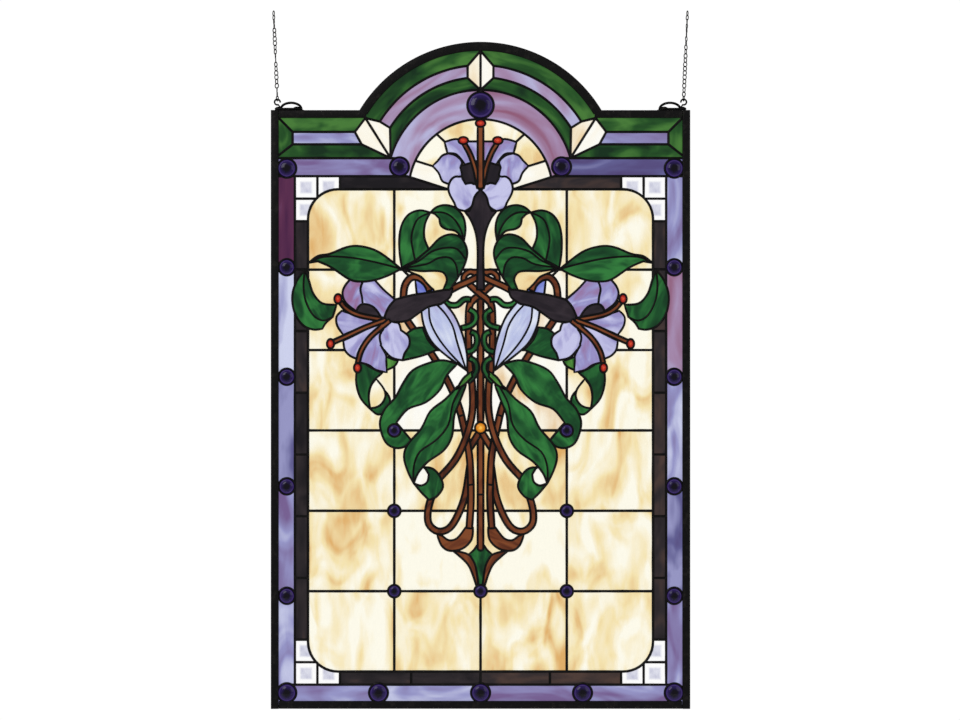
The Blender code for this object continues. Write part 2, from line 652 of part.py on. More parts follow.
def find_tiles(cartoon):
    """Cut the drawing into tiles, and give each tile the sheet it is fused to.

    Gives the points, the triangles, the triangles beside each edge, the tile of each triangle
    and the sheet of each tile.
    """
    points, triangles, top, _ = cut_plane(cartoon.polygons)
    sides = edge_sides(triangles)
    tile, total = patches(len(triangles), sides, lambda edge, pair: top[pair[0]] != top[pair[1]])
    area = [0.0] * total
    sheet = [""] * total
    for index, corners in enumerate(triangles):
        area[tile[index]] += geometry.area_tri(*[points[i] for i in corners])
        sheet[tile[index]] = cartoon.sheets[top[index]]
    home = absorb_slivers(shared_seams(points, sides, tile), area)
    tile = [home[t] for t in tile]
    size = {}
    for t, part in enumerate(area):
        size[home[t]] = size.get(home[t], 0) + part
    sheets = join_tiles(size, {t: sheet[t] for t in size}, shared_seams(points, sides, tile))
    return points, triangles, sides, tile, sheets


def shared_seams(points, sides, tile):
    """Length of the seam between each two tiles that touch."""
    shared = {}
    for edge, pair in sides.items():
        if len(pair) == 2 and tile[pair[0]] != tile[pair[1]]:
            key = tuple(sorted((tile[pair[0]], tile[pair[1]])))
            a, b = edge
            shared[key] = shared.get(key, 0) + (points[a] - points[b]).length
    return shared


def absorb_slivers(shared, area):
    """The tile that each tile belongs to once slivers are joined to the tile beside them."""
    home = list(range(len(area)))
    rims = [0.0] * len(area)
    beside = {}
    for (a, b), length in shared.items():
        for one, other in ((a, b), (b, a)):
            rims[one] += length
            beside.setdefault(one, {})[other] = length

    def head(t):
        while home[t] != t:
            t = home[t]
        return t

    for t in sorted(range(len(area)), key=area.__getitem__):
        if area[t] < SLIVER_AREA or 2 * area[t] < SLIVER_WIDTH * rims[t]:
            options = {}
            for other, length in beside.get(t, {}).items():
                if head(other) != t:
                    options[head(other)] = options.get(head(other), 0) + length
            if options:
                home[t] = max(options, key=options.get)
    return [head(t) for t in range(len(area))]


def seam_lines(points, sides, tile, sheets):
    """Middle lines of the seams between the sheets. Those round a jewel keep every corner."""
    kinds = {}
    for edge, pair in sides.items():
        beside = {sheets[tile[i]] for i in pair}
        if len(beside) > 1:
            kinds[edge] = any(name.startswith("jewel") for name in beside)
    return [straighten([points[i] for i in path], WELD if jewel else STRAIGHTEN)
            for jewel, path in chain_edges(kinds)]


def whole_outline(grow):
    """Outline of the glass, its edge moved outwards."""
    half = half_outline(grow)
    return half + mirrored(half[-2:0:-1])


def flat_lookup(polygons):
    """A test for whether a point lies on any of the polygons."""
    corners, faces = [], []
    for polygon in polygons:
        faces.append(range(len(corners), len(corners) + len(polygon)))
        corners += [(p.x, p.y, 0) for p in polygon]
    tree = BVHTree.FromPolygons(corners, faces)
    return lambda point: tree.ray_cast((point.x, point.y, 1), (0, 0, -1))[2] is not None


def cut_regions(outline, lines, half_width):
    """Part the outline along the lines, and give the regions on and off the lines.

    The borders are straightened before the last cut, so each region has few triangles.
    """
    quads = [quad for line in lines for quad in strip(line, half_width)]
    inside, on_line = flat_lookup([outline]), flat_lookup(quads)

    def kind_at(points, corners):
        middle = sum((points[i] for i in corners), Vector((0, 0))) / 3
        return int(on_line(middle)) if inside(middle) else -1

    points, triangles, _, _ = cut_plane([], [loop + loop[:1] for loop in [outline] + quads])
    kinds = [kind_at(points, corners) for corners in triangles]
    border = {}
    for edge, pair in edge_sides(triangles).items():
        found = {kinds[i] for i in pair} | ({-1} if len(pair) == 1 else set())
        if len(found) > 1:
            border[edge] = tuple(sorted(found))
    lines = [straighten([points[i] for i in path], half_width / 3) for _, path in chain_edges(border)]
    points, triangles, _, walls = cut_plane([], lines)
    number, total = patches(len(triangles), edge_sides(triangles), lambda edge, pair: edge in walls)
    regions = [[] for _ in range(total)]
    for index, corners in enumerate(triangles):
        regions[number[index]].append(corners)
    found = []
    for region in regions:
        sizes = [geometry.area_tri(*[points[i] for i in corners]) for corners in region]
        widest = region[sizes.index(max(sizes))]
        kind = kind_at(points, widest)
        if kind == 0 and sum(sizes) < SLIVER_AREA:
            kind = 1
        if kind >= 0:
            middle = sum((points[i] for i in widest), Vector((0, 0))) / 3
            found.append((kind, region, sum(sizes), middle))
    return points, found


# From the drawing to solids

def new_object(name, data, finish, parent):
    """Put a mesh or curve under the panel's foot, with its finish."""
    item = bpy.data.objects.new(name, data)
    item.data.materials.append(material(finish))
    item.parent = parent
    bpy.data.collections[COLLECTION].objects.link(item)
    return item


def material(finish):
    """The material of a finish, made once."""
    found = bpy.data.materials.get(finish)
    if found is None:
        color, roughness, metallic, alpha = FINISHES[finish]
        found = bpy.data.materials.new(finish)
        found.use_nodes = True
        shader = found.node_tree.nodes["Principled BSDF"]
        shader.inputs["Base Color"].default_value = (*color, 1)
        shader.inputs["Roughness"].default_value = roughness
        shader.inputs["Metallic"].default_value = metallic
        shader.inputs["Alpha"].default_value = alpha
    return found


def to_object(bm, name, finish, parent):
    """Finish a mesh under construction as an object with its faces pointing out."""
    bmesh.ops.recalc_face_normals(bm, faces=bm.faces[:])
    mesh = bpy.data.meshes.new(name)
    bm.to_mesh(mesh)
    bm.free()
    return new_object(name, mesh, finish, parent)


def pull(bm, faces, offset):
    """Extrude faces into a solid."""
    found = bmesh.ops.extrude_face_region(bm, geom=faces)
    moved = [item for item in found["geom"] if isinstance(item, bmesh.types.BMVert)]
    bmesh.ops.translate(bm, verts=moved, vec=offset)


def slab(name, points, triangles, front, back, finish, parent):
    """A flat solid: triangles at its front, extruded to its back."""
    bm = bmesh.new()
    verts = {}
    for corners in triangles:
        for i in corners:
            if i not in verts:
                verts[i] = bm.verts.new((points[i].x, front, points[i].y))
        bm.faces.new([verts[i] for i in corners])
    pull(bm, bm.faces[:], (0, back - front, 0))
    return to_object(bm, name, finish, parent)


def prism(name, outline, front, back, finish, parent):
    """A flat solid with one outline, as a filled curve."""
    curve = bpy.data.curves.new(name, "CURVE")
    curve.dimensions = "2D"
    curve.fill_mode = "BOTH"
    curve.extrude = (back - front) / 2
    spline = curve.splines.new("POLY")
    spline.points.add(len(outline) - 1)
    spline.use_cyclic_u = True
    for point, corner in zip(spline.points, outline):
        point.co = (corner.x, corner.y, 0, 1)
    item = new_object(name, curve, finish, parent)
    item.rotation_euler = (pi / 2, 0, 0)
    item.location = (0, (back + front) / 2, 0)
    return as_mesh(item)


def tube(name, points, radius, resolution, finish, parent, closed=False):
    """A wire along a line of points, open with caps or closed."""
    curve = bpy.data.curves.new(name, "CURVE")
    curve.dimensions = "3D"
    curve.bevel_depth = radius
    curve.bevel_resolution = resolution
    curve.use_fill_caps = not closed
    spline = curve.splines.new("POLY")
    spline.points.add(len(points) - 1)
    spline.use_cyclic_u = closed
    for point, corner in zip(spline.points, points):
        point.co = (*corner, 1)
    return as_mesh(new_object(name, curve, finish, parent))


def as_mesh(item):
    """Turn a curve object into a mesh object with closed caps."""
    graph = bpy.context.evaluated_depsgraph_get()
    mesh = bpy.data.meshes.new_from_object(item.evaluated_get(graph))
    bm = bmesh.new()
    bm.from_mesh(mesh)
    bmesh.ops.remove_doubles(bm, verts=bm.verts[:], dist=WELD)
    bm.to_mesh(mesh)
    bm.free()
    name, parent, place_at, turn = item.name, item.parent, item.location[:], item.rotation_euler[:]
    bpy.data.objects.remove(item)
    solid = bpy.data.objects.new(name, mesh)
    solid.parent, solid.location, solid.rotation_euler = parent, place_at, turn
    bpy.data.collections[COLLECTION].objects.link(solid)
    return solid


def combine(item, other, operation):
    """Cut one piece with another, or join another to it."""
    bpy.data.collections[COLLECTION].objects.unlink(other)
    bpy.data.collections[CUTTERS].objects.link(other)
    other.hide_render = True
    other.display_type = "WIRE"
    step = item.modifiers.new(other.name, "BOOLEAN")
    step.operation = operation
    step.object = other


def make_seams(points, found, parent):
    """The net of soldered seams over the front of the glass, all in one piece."""
    regions = sorted(([size, region] for kind, region, size, _ in found if kind == 1), reverse=True)
    triangles = regions.pop(0)[1]
    edges = set(edge_sides(triangles))
    for _, region in regions:
        if edges & set(edge_sides(region)):
            triangles = triangles + region
    back = -GLASS_THICKNESS / 2 - CLEARANCE
    slab("seams", points, triangles, back - SEAM_RISE, back, "solder_finish", parent)


def make_sheets(points, found, sheet_at, parent):
    """The sheets of glass, each with its own outline."""
    half = GLASS_THICKNESS / 2
    for kind, region, _, middle in found:
        name = sheet_at(middle)
        if kind == 0 and not name.startswith("jewel"):
            slab(name, points, region, -half, half, sheet_finish(name), parent)


def sheet_finish(name):
    """The finish of a sheet, by the start of its name."""
    return next((finish for start, finish in SHEET_FINISHES.items() if name.startswith(start)), "lilac_glass")


def make_jewel(name, centre, seat, parent):
    """A turned jewel: a flat back in the plane of the glass, and a domed front."""
    facet = cos(pi / JEWEL_SIDES)
    base = seat - CLEARANCE / facet
    dome = seat - (SEAM_WIDTH / 2 + CLEARANCE) / facet
    half = GLASS_THICKNESS / 2
    rise = half + SEAM_RISE + CLEARANCE
    profile = [(0, rise + JEWEL_RISE), (dome * JEWEL_SHOULDER, rise + JEWEL_RISE / 2), (dome, rise),
               (dome, half), (base, half), (base, -half), (0, -half)]
    mesh = bpy.data.meshes.new(name)
    mesh.from_pydata([(x, 0, z) for x, z in profile], [(i, i + 1) for i in range(len(profile) - 1)], [])
    item = new_object(name, mesh, "violet_jewel", parent)
    item.location = (centre[0], 0, centre[1])
    item.rotation_euler = (pi / 2, pi / JEWEL_SIDES, 0)
    turn = item.modifiers.new("turn", "SCREW")
    turn.steps = turn.render_steps = JEWEL_SIDES
    turn.use_merge_vertices = True
    turn.merge_threshold = WELD


def make_jewels(parent):
    """All the jewels of the border."""
    for name, centre, radius in jewel_seats():
        if centre[0] == 0:
            make_jewel(name, centre, radius, parent)
        else:
            make_jewel(name + "_left", centre, radius, parent)
            make_jewel(name + "_right", (-centre[0], centre[1]), radius, parent)


def channel(face):
    """The U profile of a came, as (distance in from the frame's edge, depth), open inwards."""
    half, groove = CAME_DEPTH / 2, GLASS_THICKNESS / 2 + CLEARANCE
    floor = face - GLASS_BITE - EDGE_ROOM
    return [(0, -half), (face, -half), (face, -groove), (floor, -groove), (floor, groove), (face, groove),
            (face, half), (0, half)]


def came_bar(name, start, end, inward, parent):
    """A straight came whose outer edge runs from start to end."""
    bm = bmesh.new()
    face = bm.faces.new([bm.verts.new((start[0] + inward[0] * d, y, start[1] + inward[1] * d))
                         for d, y in channel(CAME_FACE)])
    pull(bm, [face], (end[0] - start[0], 0, end[1] - start[1]))
    return to_object(bm, name, "came_finish", parent)


def came_arch(parent):
    """The arched came, spun about the arch's centre and cut level at its feet."""
    foot = GLASS_SHOULDER + GLASS_BITE + 2 * CLEARANCE
    start = asin((GLASS_SHOULDER - ARCH_CENTRE) / ARCH_RADIUS)
    bm = bmesh.new()
    face = bm.faces.new([bm.verts.new(((ARCH_RADIUS - d) * cos(start), y,
                                       ARCH_CENTRE + (ARCH_RADIUS - d) * sin(start)))
                         for d, y in channel(ARCH_CAME_FACE)])
    bmesh.ops.spin(bm, geom=[face], cent=(0, 0, ARCH_CENTRE), axis=(0, -1, 0), angle=pi - 2 * start,
                   steps=ARCH_STEPS)
    bmesh.ops.remove_doubles(bm, verts=bm.verts[:], dist=WELD)
    bmesh.ops.bisect_plane(bm, geom=bm.verts[:] + bm.edges[:] + bm.faces[:], plane_co=(0, 0, foot),
                           plane_no=(0, 0, 1), clear_inner=True)
    bmesh.ops.holes_fill(bm, edges=[edge for edge in bm.edges if edge.is_boundary])
    to_object(bm, "came_arch", "came_finish", parent)


def make_cames(parent):
    """The frame: two sides, a bottom, two shoulders under the arch's feet, and the arch."""
    inner = GLASS_SIDE - CLEARANCE
    came_bar("came_bottom", (-inner, 0), (inner, 0), (0, 1), parent)
    came_arch(parent)
    step = GLASS_SHOULDER + GLASS_BITE + CLEARANCE
    reach = sqrt(GLASS_ARCH ** 2 - (GLASS_SHOULDER - ARCH_CENTRE) ** 2)
    radius = ARCH_RADIUS + CLEARANCE
    turn = asin((step - ARCH_CENTRE) / radius)
    crown = arc((0, ARCH_CENTRE), radius, turn, pi - turn, CUTTER_CHORD)
    for side, name in ((-1, "left"), (1, "right")):
        edge = side * HALF_WIDTH
        came_bar("came_side_" + name, (edge, 0), (edge, SHOULDER_HEIGHT), (-side, 0), parent)
        shoulder = came_bar("came_shoulder_" + name, (side * inner, SHOULDER_HEIGHT),
                            (side * reach, SHOULDER_HEIGHT), (0, -1), parent)
        cutter = prism("arch_cutter_" + name, crown, -CAME_DEPTH, CAME_DEPTH, "came_finish", parent)
        combine(shoulder, cutter, "DIFFERENCE")


def make_hook(side, name, parent):
    """A wire bent into a flat arch and a curl, soldered to a pad on the shoulder."""
    pad_top = SHOULDER_HEIGHT + CLEARANCE + HOOK_PAD_HEIGHT
    curl = HOOK_CURL_RADIUS - HOOK_WIRE / 2
    foot = HOOK_SIDE - HOOK_PAD_LENGTH
    spread = (HOOK_PAD_LENGTH - HOOK_CURL_RADIUS) / 2
    rise = SHOULDER_HEIGHT + HOOK_ARCH_HEIGHT - pad_top
    arch_turns = [pi - pi * i / HOOK_STEPS for i in range(HOOK_STEPS)]
    curl_turns = [HOOK_CURL_START + (pi - HOOK_CURL_START) * i / HOOK_STEPS for i in range(HOOK_STEPS + 1)]
    wire = [(side * (foot + spread + spread * cos(a)), 0, pad_top + rise * sin(a)) for a in arch_turns]
    wire += [(side * (HOOK_SIDE + curl * cos(a)), 0, HOOK_CURL_HEIGHT + curl * sin(a)) for a in curl_turns]
    left, right = sorted((side * (foot - HOOK_WIRE), side * (HOOK_SIDE + HOOK_WIRE)))
    pad = prism("hook_" + name, box(left, pad_top - HOOK_PAD_HEIGHT, right, pad_top),
                -HOOK_PAD_DEPTH / 2, HOOK_PAD_DEPTH / 2, "wire_finish", parent)
    combine(pad, tube("hook_wire_" + name, wire, HOOK_WIRE / 2, 1, "wire_finish", parent), "UNION")


def link_line(centre, turn):
    """Middle line of a link: an upright oval, turned about the chain."""
    wide, high = (LINK_WIDTH - LINK_WIRE) / 2, (LINK_LENGTH - LINK_WIRE) / 2
    turns = [pi / 2 + 2 * pi * i / LINK_POINTS for i in range(LINK_POINTS)]
    return [(centre.x + wide * cos(a) * cos(turn), wide * cos(a) * sin(turn), centre.z + high * sin(a))
            for a in turns]


def make_chain(side, name, parent):
    """A slowly twisting chain, its links in two sets that are joined where they touch."""
    foot = Vector((side * HOOK_SIDE, 0, CHAIN_FOOT + LINK_LENGTH / 2))
    top = Vector((side * (HOOK_SIDE + CHAIN_SPREAD), 0, HANG_HEIGHT - LINK_LENGTH / 2))
    sets = ([], [])
    for i in range(LINKS):
        turn = (i + 1) * pi / 2 + CHAIN_TURN * i / LINKS
        line = link_line(foot.lerp(top, i / (LINKS - 1)), turn)
        link = tube(f"link_{name}_{i}", line, LINK_WIRE / 2, 0, "wire_finish", parent, closed=True)
        sets[i % 2].append(link)
    chain, partner = [join_all(links) for links in sets]
    chain.name = "chain_" + name
    combine(chain, partner, "UNION")


def join_all(items):
    """Put the meshes of several objects into the first one."""
    bm = bmesh.new()
    for item in items:
        bm.from_mesh(item.data)
    bm.to_mesh(items[0].data)
    bm.free()
    for item in items[1:]:
        bpy.data.objects.remove(item)
    return items[0]


def main():
    """Build the window."""
    for item in list(bpy.data.objects):
        bpy.data.objects.remove(item)
    for name in (COLLECTION, CUTTERS):
        bpy.context.scene.collection.children.link(bpy.data.collections.new(name))
    frame = bpy.data.objects.new("panel_foot", None)
    frame.location = (0, 0, -HANG_HEIGHT)
    bpy.data.collections[COLLECTION].objects.link(frame)
    points, triangles, sides, tile, sheets = find_tiles(draw_window())
    lookup = BVHTree.FromPolygons([(p.x, p.y, 0) for p in points], triangles)

    def sheet_at(point):
        return sheets[tile[lookup.find_nearest((point.x, point.y, 0))[2]]]

    lines = seam_lines(points, sides, tile, sheets)
    make_seams(*cut_regions(whole_outline(-SEAM_END_ROOM), lines, SEAM_WIDTH / 2), frame)
    make_sheets(*cut_regions(whole_outline(GLASS_BITE), lines, CLEARANCE / 2), sheet_at, frame)
    make_jewels(frame)
    make_cames(frame)
    for side, name in ((-1, "left"), (1, "right")):
        make_hook(side, name, frame)
        make_chain(side, name, frame)


main()
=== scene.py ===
"""Stained glass window: the looks round the CAD model, in the CAD model's own frame.

The panel hangs in the XZ plane with its front to -Y. The drawing is made in the plane of the
panel, as points (x, height above the panel's foot), and cut into pieces of glass and seams.
"""
import random
from functools import cache
from math import asin, atan2, ceil, cos, pi, radians, sin, sqrt

import bmesh
import bpy
from mathutils import Matrix, Vector, geometry, noise


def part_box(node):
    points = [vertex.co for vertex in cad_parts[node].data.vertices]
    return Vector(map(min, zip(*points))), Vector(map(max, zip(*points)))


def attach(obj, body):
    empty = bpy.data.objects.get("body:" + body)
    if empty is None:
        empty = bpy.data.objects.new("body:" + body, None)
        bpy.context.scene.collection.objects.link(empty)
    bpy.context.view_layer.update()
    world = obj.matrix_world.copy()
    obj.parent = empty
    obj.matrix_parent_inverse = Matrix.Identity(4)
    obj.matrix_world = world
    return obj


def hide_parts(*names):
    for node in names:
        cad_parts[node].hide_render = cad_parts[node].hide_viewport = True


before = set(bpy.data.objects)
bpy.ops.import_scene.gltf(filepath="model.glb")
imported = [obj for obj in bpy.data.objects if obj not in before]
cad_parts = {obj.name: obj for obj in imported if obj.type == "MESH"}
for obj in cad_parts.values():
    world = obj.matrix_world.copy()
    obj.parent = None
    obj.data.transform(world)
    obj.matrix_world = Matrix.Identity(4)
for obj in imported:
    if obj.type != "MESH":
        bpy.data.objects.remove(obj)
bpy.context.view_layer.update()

bl_info = {
    "name": "Stained glass window",
    "version": (1, 0, 0),
    "blender": (4, 5, 0),
    "location": "3D View > Sidebar > Window",
    "description": "Glass, soldered seams, jewels, frame and chains of a hanging stained glass window",
    "category": "Object",
}

MM = 0.001

# Outline of the panel
HALF_WIDTH = (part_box("came_side_right")[1].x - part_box("came_side_left")[0].x) / 2
HANG_HEIGHT = -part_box("came_bottom")[0].z
SHOULDER_HEIGHT = 0.798
ARCH_CENTRE_DROP = 0.0975
ARCH_RADIUS = 0.1885
CAME_FACE = 0.0105
ARCH_CAME_FACE = 0.012
GLASS_BITE = 0.005
EDGE_ROOM = 0.001
CLEARANCE = 0.0003

# Border strips, from the frame inwards
LAVENDER_STRIP = 0.0215
DARK_STRIP = 0.0175
SHOULDER_GREEN = 0.0185
SHOULDER_LAVENDER = 0.0165
JEWEL_ROW = 0.024
CORNER_TILE = 0.030
SIDE_DARK_TILE = 0.0823
BOTTOM_DARK_TILE = 0.0925

# Rings of the arch, the fan and the keystones
ARCH_GREEN_OUTER = 0.019
ARCH_LAVENDER = 0.016
ARCH_GREEN_INNER = 0.017
ARCH_BAND = 0.0285
FAN_DROP = 0.0105
FAN_SEAM_ANGLE = radians(155)
WEDGE_ROOM = 0.002
WEDGE_INNER = 0.043
KEYSTONE_HALF_WIDTH = 0.0172
SHOULDER_KEYSTONE_REACH = 0.014
SHOULDER_KEYSTONE_FOOT = 0.005
SHOULDER_KEYSTONE_ANGLE = radians(148.5)

# Field
FIELD_CORNER = 0.040
GRID_ROWS = 6

# Jewels, measured to the middle of the seam round them
TOP_JEWEL_RADIUS = 0.0175
TOP_JEWEL_GAP = 0.003
CORNER_JEWEL_RADIUS = 0.0125
CORNER_JEWEL_LIFT = 0.0105
SIDE_JEWEL_RADIUS = 0.0108
SIDE_JEWEL_FIRST = 0.1505
SIDE_JEWEL_PITCH = 0.146
SIDE_JEWELS = 4
BOTTOM_JEWEL_PITCH = 0.136
GRID_JEWEL_RADIUS = 0.0082
AMBER_JEWEL_RADIUS = 0.0072
AMBER_JEWEL_LIFT = 0.0035
AMBER_JEWEL_ROW = 3
SIDE_TIP_RADIUS = 0.0046
TOP_TIP_RADIUS = 0.0062
SIDE_TIP_STRETCH = 1.35
TOP_TIP_STRETCH = 0.72

# Hooks and chains
HOOK_CURL_LIFT = 0.011
HOOK_CURL_START = radians(-110)
HOOK_CURL_END = radians(190)
HOOK_CURL_RADIUS = 0.0046
HOOK_CURL_SHARE = 0.68
HOOK_FROM_EDGE = 0.0085
HOOK_PAD_LENGTH = 0.032
HOOK_PAD_HEIGHT = 0.003
HOOK_PAD_DEPTH = 0.005
HOOK_ARCH_HEIGHT = 0.0117
HOOK_PAD_SLOPE = 0.005
HOOK_PAD_ROUNDING = 0.0010
SOLDER_RADIUS = 0.0032
SOLDER_SHAPE = (1.5, 0.8, 0.7)
SOLDER_SINK = 0.0005
SOLDER_INNER = 0.006
SOLDER_OUTER = 0.002
LINKS = 21
LINK_PITCH = 0.00568
LINK_LENGTH = 0.0080
LINK_WIDTH = 0.0058
LINK_LEAN = radians(13)
CHAIN_SPREAD = 0.005
WIDE_LINK = 3
WIDE_LINK_GROWTH = 1.3
# How each chain twists: the link that faces the front, and how many links make a quarter turn
CHAIN_TWISTS = {"chain_left": (5.2, 4.2), "chain_right": (6.5, 10.0)}

# The figures are drawn in millimetres on a cartoon of this size, from the field's bottom centre
CARTOON_WIDTH = 460
CARTOON_HEIGHT = 643
STEM_WIDTH = 7.6
STAMEN_WIDTH = 5.6
TENDRIL_WIDTH = 6.4

# Fineness
ARC_CHORD = 0.006
CURVE_STEPS = 4
RING_SIDES = 40
SPUN_SIDES = 40
ARCH_STEPS = 96
HOOK_STEPS = 24
LINK_SIDES = 20
FLOOR_SIDES = 96
SLIVER_AREA = 0.000012
SLIVER_WIDTH = 0.0012
WELD = 0.00002
RUN_LENGTH = 0.007
STRAIGHTEN = 0.00006
RIB_OVERRUN = 0.009
MITRE_LIMIT = 0.6
SHORTEST_PLANK = 0.0002
SHARP_ANGLE = radians(35)

# How a seam's bead swells and thins, and how a knot of solder does
BEAD_WOBBLE = 0.10
BEAD_WAVES = 45
KNOT_SWELL = 1.12
KNOT_WAVES = 60

# A jewel's crown, as share of its radius and of its rise, and its foot over the glass
JEWEL_CROWN = ((0.0, 1.0), (0.22, 0.975), (0.44, 0.90), (0.62, 0.77), (0.74, 0.60), (0.79, 0.46),
               (0.83, 0.42), (0.87, 0.46), (0.92, 0.44), (0.97, 0.26), (1.0, 0.0))
JEWEL_FOOT = 0.0006

# Lines that follow from the sizes above
ARCH_CENTRE = SHOULDER_HEIGHT - ARCH_CENTRE_DROP
GLASS_SIDE = HALF_WIDTH - CAME_FACE
GLASS_BOTTOM = CAME_FACE
GLASS_SHOULDER = SHOULDER_HEIGHT - CAME_FACE
GLASS_ARCH = ARCH_RADIUS - ARCH_CAME_FACE
DARK_SIDE = GLASS_SIDE - LAVENDER_STRIP
DARK_BOTTOM = GLASS_BOTTOM + LAVENDER_STRIP
FIELD_SIDE = DARK_SIDE - DARK_STRIP
FIELD_BOTTOM = DARK_BOTTOM + DARK_STRIP
LAVENDER_TOP = GLASS_SHOULDER - SHOULDER_GREEN
LAVENDER_FOOT = LAVENDER_TOP - SHOULDER_LAVENDER
ROW_TOP = LAVENDER_FOOT - SHOULDER_GREEN
DARK_TOP = ROW_TOP - JEWEL_ROW
FIELD_TOP = DARK_TOP - DARK_STRIP
GRID_ROW = (FIELD_TOP - FIELD_BOTTOM) / GRID_ROWS
RING_LAVENDER = GLASS_ARCH - ARCH_GREEN_OUTER
RING_GREEN = RING_LAVENDER - ARCH_LAVENDER
RING_BAND = RING_GREEN - ARCH_GREEN_INNER
FAN_RADIUS = RING_BAND - ARCH_BAND
FAN_CENTRE = ARCH_CENTRE - FAN_DROP
WEDGE_OUTER = FAN_RADIUS + WEDGE_ROOM
RIM = GLASS_SIDE + GLASS_BITE
STRIP_MIDDLE = (GLASS_SIDE + DARK_SIDE) / 2
HOOK_SIDE = HALF_WIDTH - HOOK_FROM_EDGE
HOOK_CURL_HEIGHT = SHOULDER_HEIGHT + HOOK_CURL_LIFT

# Camera and light
LENS = 85
SENSOR = 36
METRES_PER_PIXEL = 0.001334
PICTURE_WIDTH = 960
CAMERA_SIDE = -0.0007
CAMERA_HEIGHT = 0.4649
FLOOR_DROP = 0.22
FLOOR_RADIUS = 1.2
WORLD_LIGHT = 0.18
WORLD_SEEN = 1.02
# Name, place, size and power of each lamp
LAMPS = (("key_light", (-1.5, -2.2, 0.9), 1.6, 14), ("fill_light", (1.8, -1.8, 0.2), 1.8, 6),
         ("back_light", (0.4, 2.2, 1.0), 1.6, 26))


def tone(red, green, blue):
    """A colour given as it looks on a screen, 0 to 255, turned into light."""
    return tuple((c / 255 / 12.92) if c < 11 else ((c / 255 + 0.055) / 1.055) ** 2.4
                 for c in (red, green, blue))


# Glass: slot, pale, middle and deep tone, streaks per metre, stretch, swirl, spread, wisps
GLASSES = {
    "cream": ("cream_glass", tone(255, 252, 236), tone(246, 228, 176), tone(224, 174, 104),
              26, 2.2, 1.2, 0.55, 0.14),
    "ivory": ("white_glass", tone(255, 254, 248), tone(253, 247, 230), tone(228, 190, 134),
              24, 2.2, 1.2, 0.50, 0.12),
    "bone": ("white_glass", tone(255, 254, 248), tone(253, 247, 230), tone(236, 206, 156),
             30, 2.4, 1.0, 0.45, 0.16),
    "bevelled": ("white_glass", tone(222, 223, 236), tone(206, 207, 224), tone(184, 184, 210),
                 90, 1.2, 0.5, 0.40, 0.30),
    "green": ("green_glass", tone(70, 122, 54), tone(34, 80, 34), tone(14, 46, 24),
              34, 2.2, 1.4, 0.55, 0.16),
    "leaf": ("leaf_glass", tone(48, 122, 58), tone(22, 76, 38), tone(10, 44, 26),
             44, 2.6, 1.6, 0.50, 0.16),
    "bright": ("leaf_glass", tone(104, 164, 78), tone(66, 124, 50), tone(30, 82, 34),
               50, 2.5, 1.0, 0.45, 0.30),
    "lavender": ("lilac_glass", tone(206, 210, 238), tone(150, 150, 200), tone(118, 96, 146),
                 24, 2.6, 1.6, 0.50, 0.12),
    "iris": ("lilac_glass", tone(150, 150, 196), tone(98, 96, 148), tone(78, 62, 112),
             26, 2.6, 1.6, 0.45, 0.12),
    "mauve": ("lilac_glass", tone(182, 180, 218), tone(164, 136, 172), tone(144, 92, 120),
              22, 2.6, 1.8, 0.50, 0.12),
    "purple": ("lilac_glass", tone(122, 80, 122), tone(92, 44, 78), tone(66, 26, 66),
               26, 5.0, 1.0, 0.45, 0.20),
    "petal": ("lily_glass", tone(198, 198, 234), tone(152, 148, 202), tone(150, 108, 152),
              44, 2.2, 1.6, 0.50, 0.12),
    "bud": ("lily_glass", tone(226, 232, 246), tone(186, 194, 230), tone(166, 150, 196),
            46, 3.4, 0.9, 0.45, 0.20),
    "blue": ("lily_glass", tone(150, 162, 226), tone(108, 120, 204), tone(96, 88, 160),
             46, 2.4, 0.9, 0.40, 0.20),
    "dark": ("dark_glass", tone(76, 58, 52), tone(44, 38, 41), tone(22, 19, 24),
             34, 2.4, 1.2, 0.40, 0.15),
    "throat": ("dark_glass", tone(50, 42, 49), tone(33, 27, 34), tone(20, 19, 27),
               60, 2.4, 1.0, 0.35, 0.15),
    "stem": ("stem_glass", tone(128, 70, 38), tone(98, 48, 26), tone(56, 26, 17),
             60, 3.0, 1.2, 0.45, 0.30),
}
GLASS_TONES = ("pale", "middle", "deep")

# How far the shade of each piece strays, and how the grain starts anew from piece to piece
SHADE_JITTER = {"cream": 0.16, "ivory": 0.45, "lavender": 0.05, "dark": 0.20, "stem": 0.20,
                "leaf": 0.15}
PLAIN_JITTER = 0.10
GRAIN_STEPS = (0.731, 0.417)
GRAIN_SPAN = 4

# Streaks: fine grain beside the broad one, and how the noise and the shade move the tone
FINE_GRAIN = (3.4, 1.8, 1.0)
NOISE_GAIN = 8.0
SHADE_GAIN = 2.0
LEVEL_START = 0.7

# Cast glass: slot, middle, body and rim tone, which paint the light and shade of the jewel's dome, and how
# much of the radius the middle takes
CASTS = {
    # The violet jewel gets painted shade in its dark middle and a painted highlight in its lighter rim; the
    # amber and red ones get a painted glow in their bright middle and painted shade at the rim
    "violet_cast": ("violet_jewel", tone(7, 4, 15), tone(36, 20, 80), tone(78, 60, 122), 0.64),
    "amber_cast": ("cream_glass", tone(255, 196, 84), tone(226, 142, 30), tone(150, 76, 16), 0.45),
    "red_cast": ("stem_glass", tone(224, 78, 44), tone(172, 36, 22), tone(96, 16, 12), 0.46),
}
CAST_TONES = ("middle", "body", "rim")

# Metals: slot, body, worn tone, roughness, metallic
METALS = {
    "came_patina": ("came", tone(24, 23, 24), tone(52, 49, 46), 0.46, 0.55),
    "solder_patina": ("solder", tone(15, 12, 14), tone(40, 36, 36), 0.42, 0.45),
    "wire_patina": ("wire", tone(20, 19, 20), tone(74, 68, 62), 0.38, 0.75),
}
METAL_TONES = ("body", "worn")
PATINA_GRAIN = 130.0
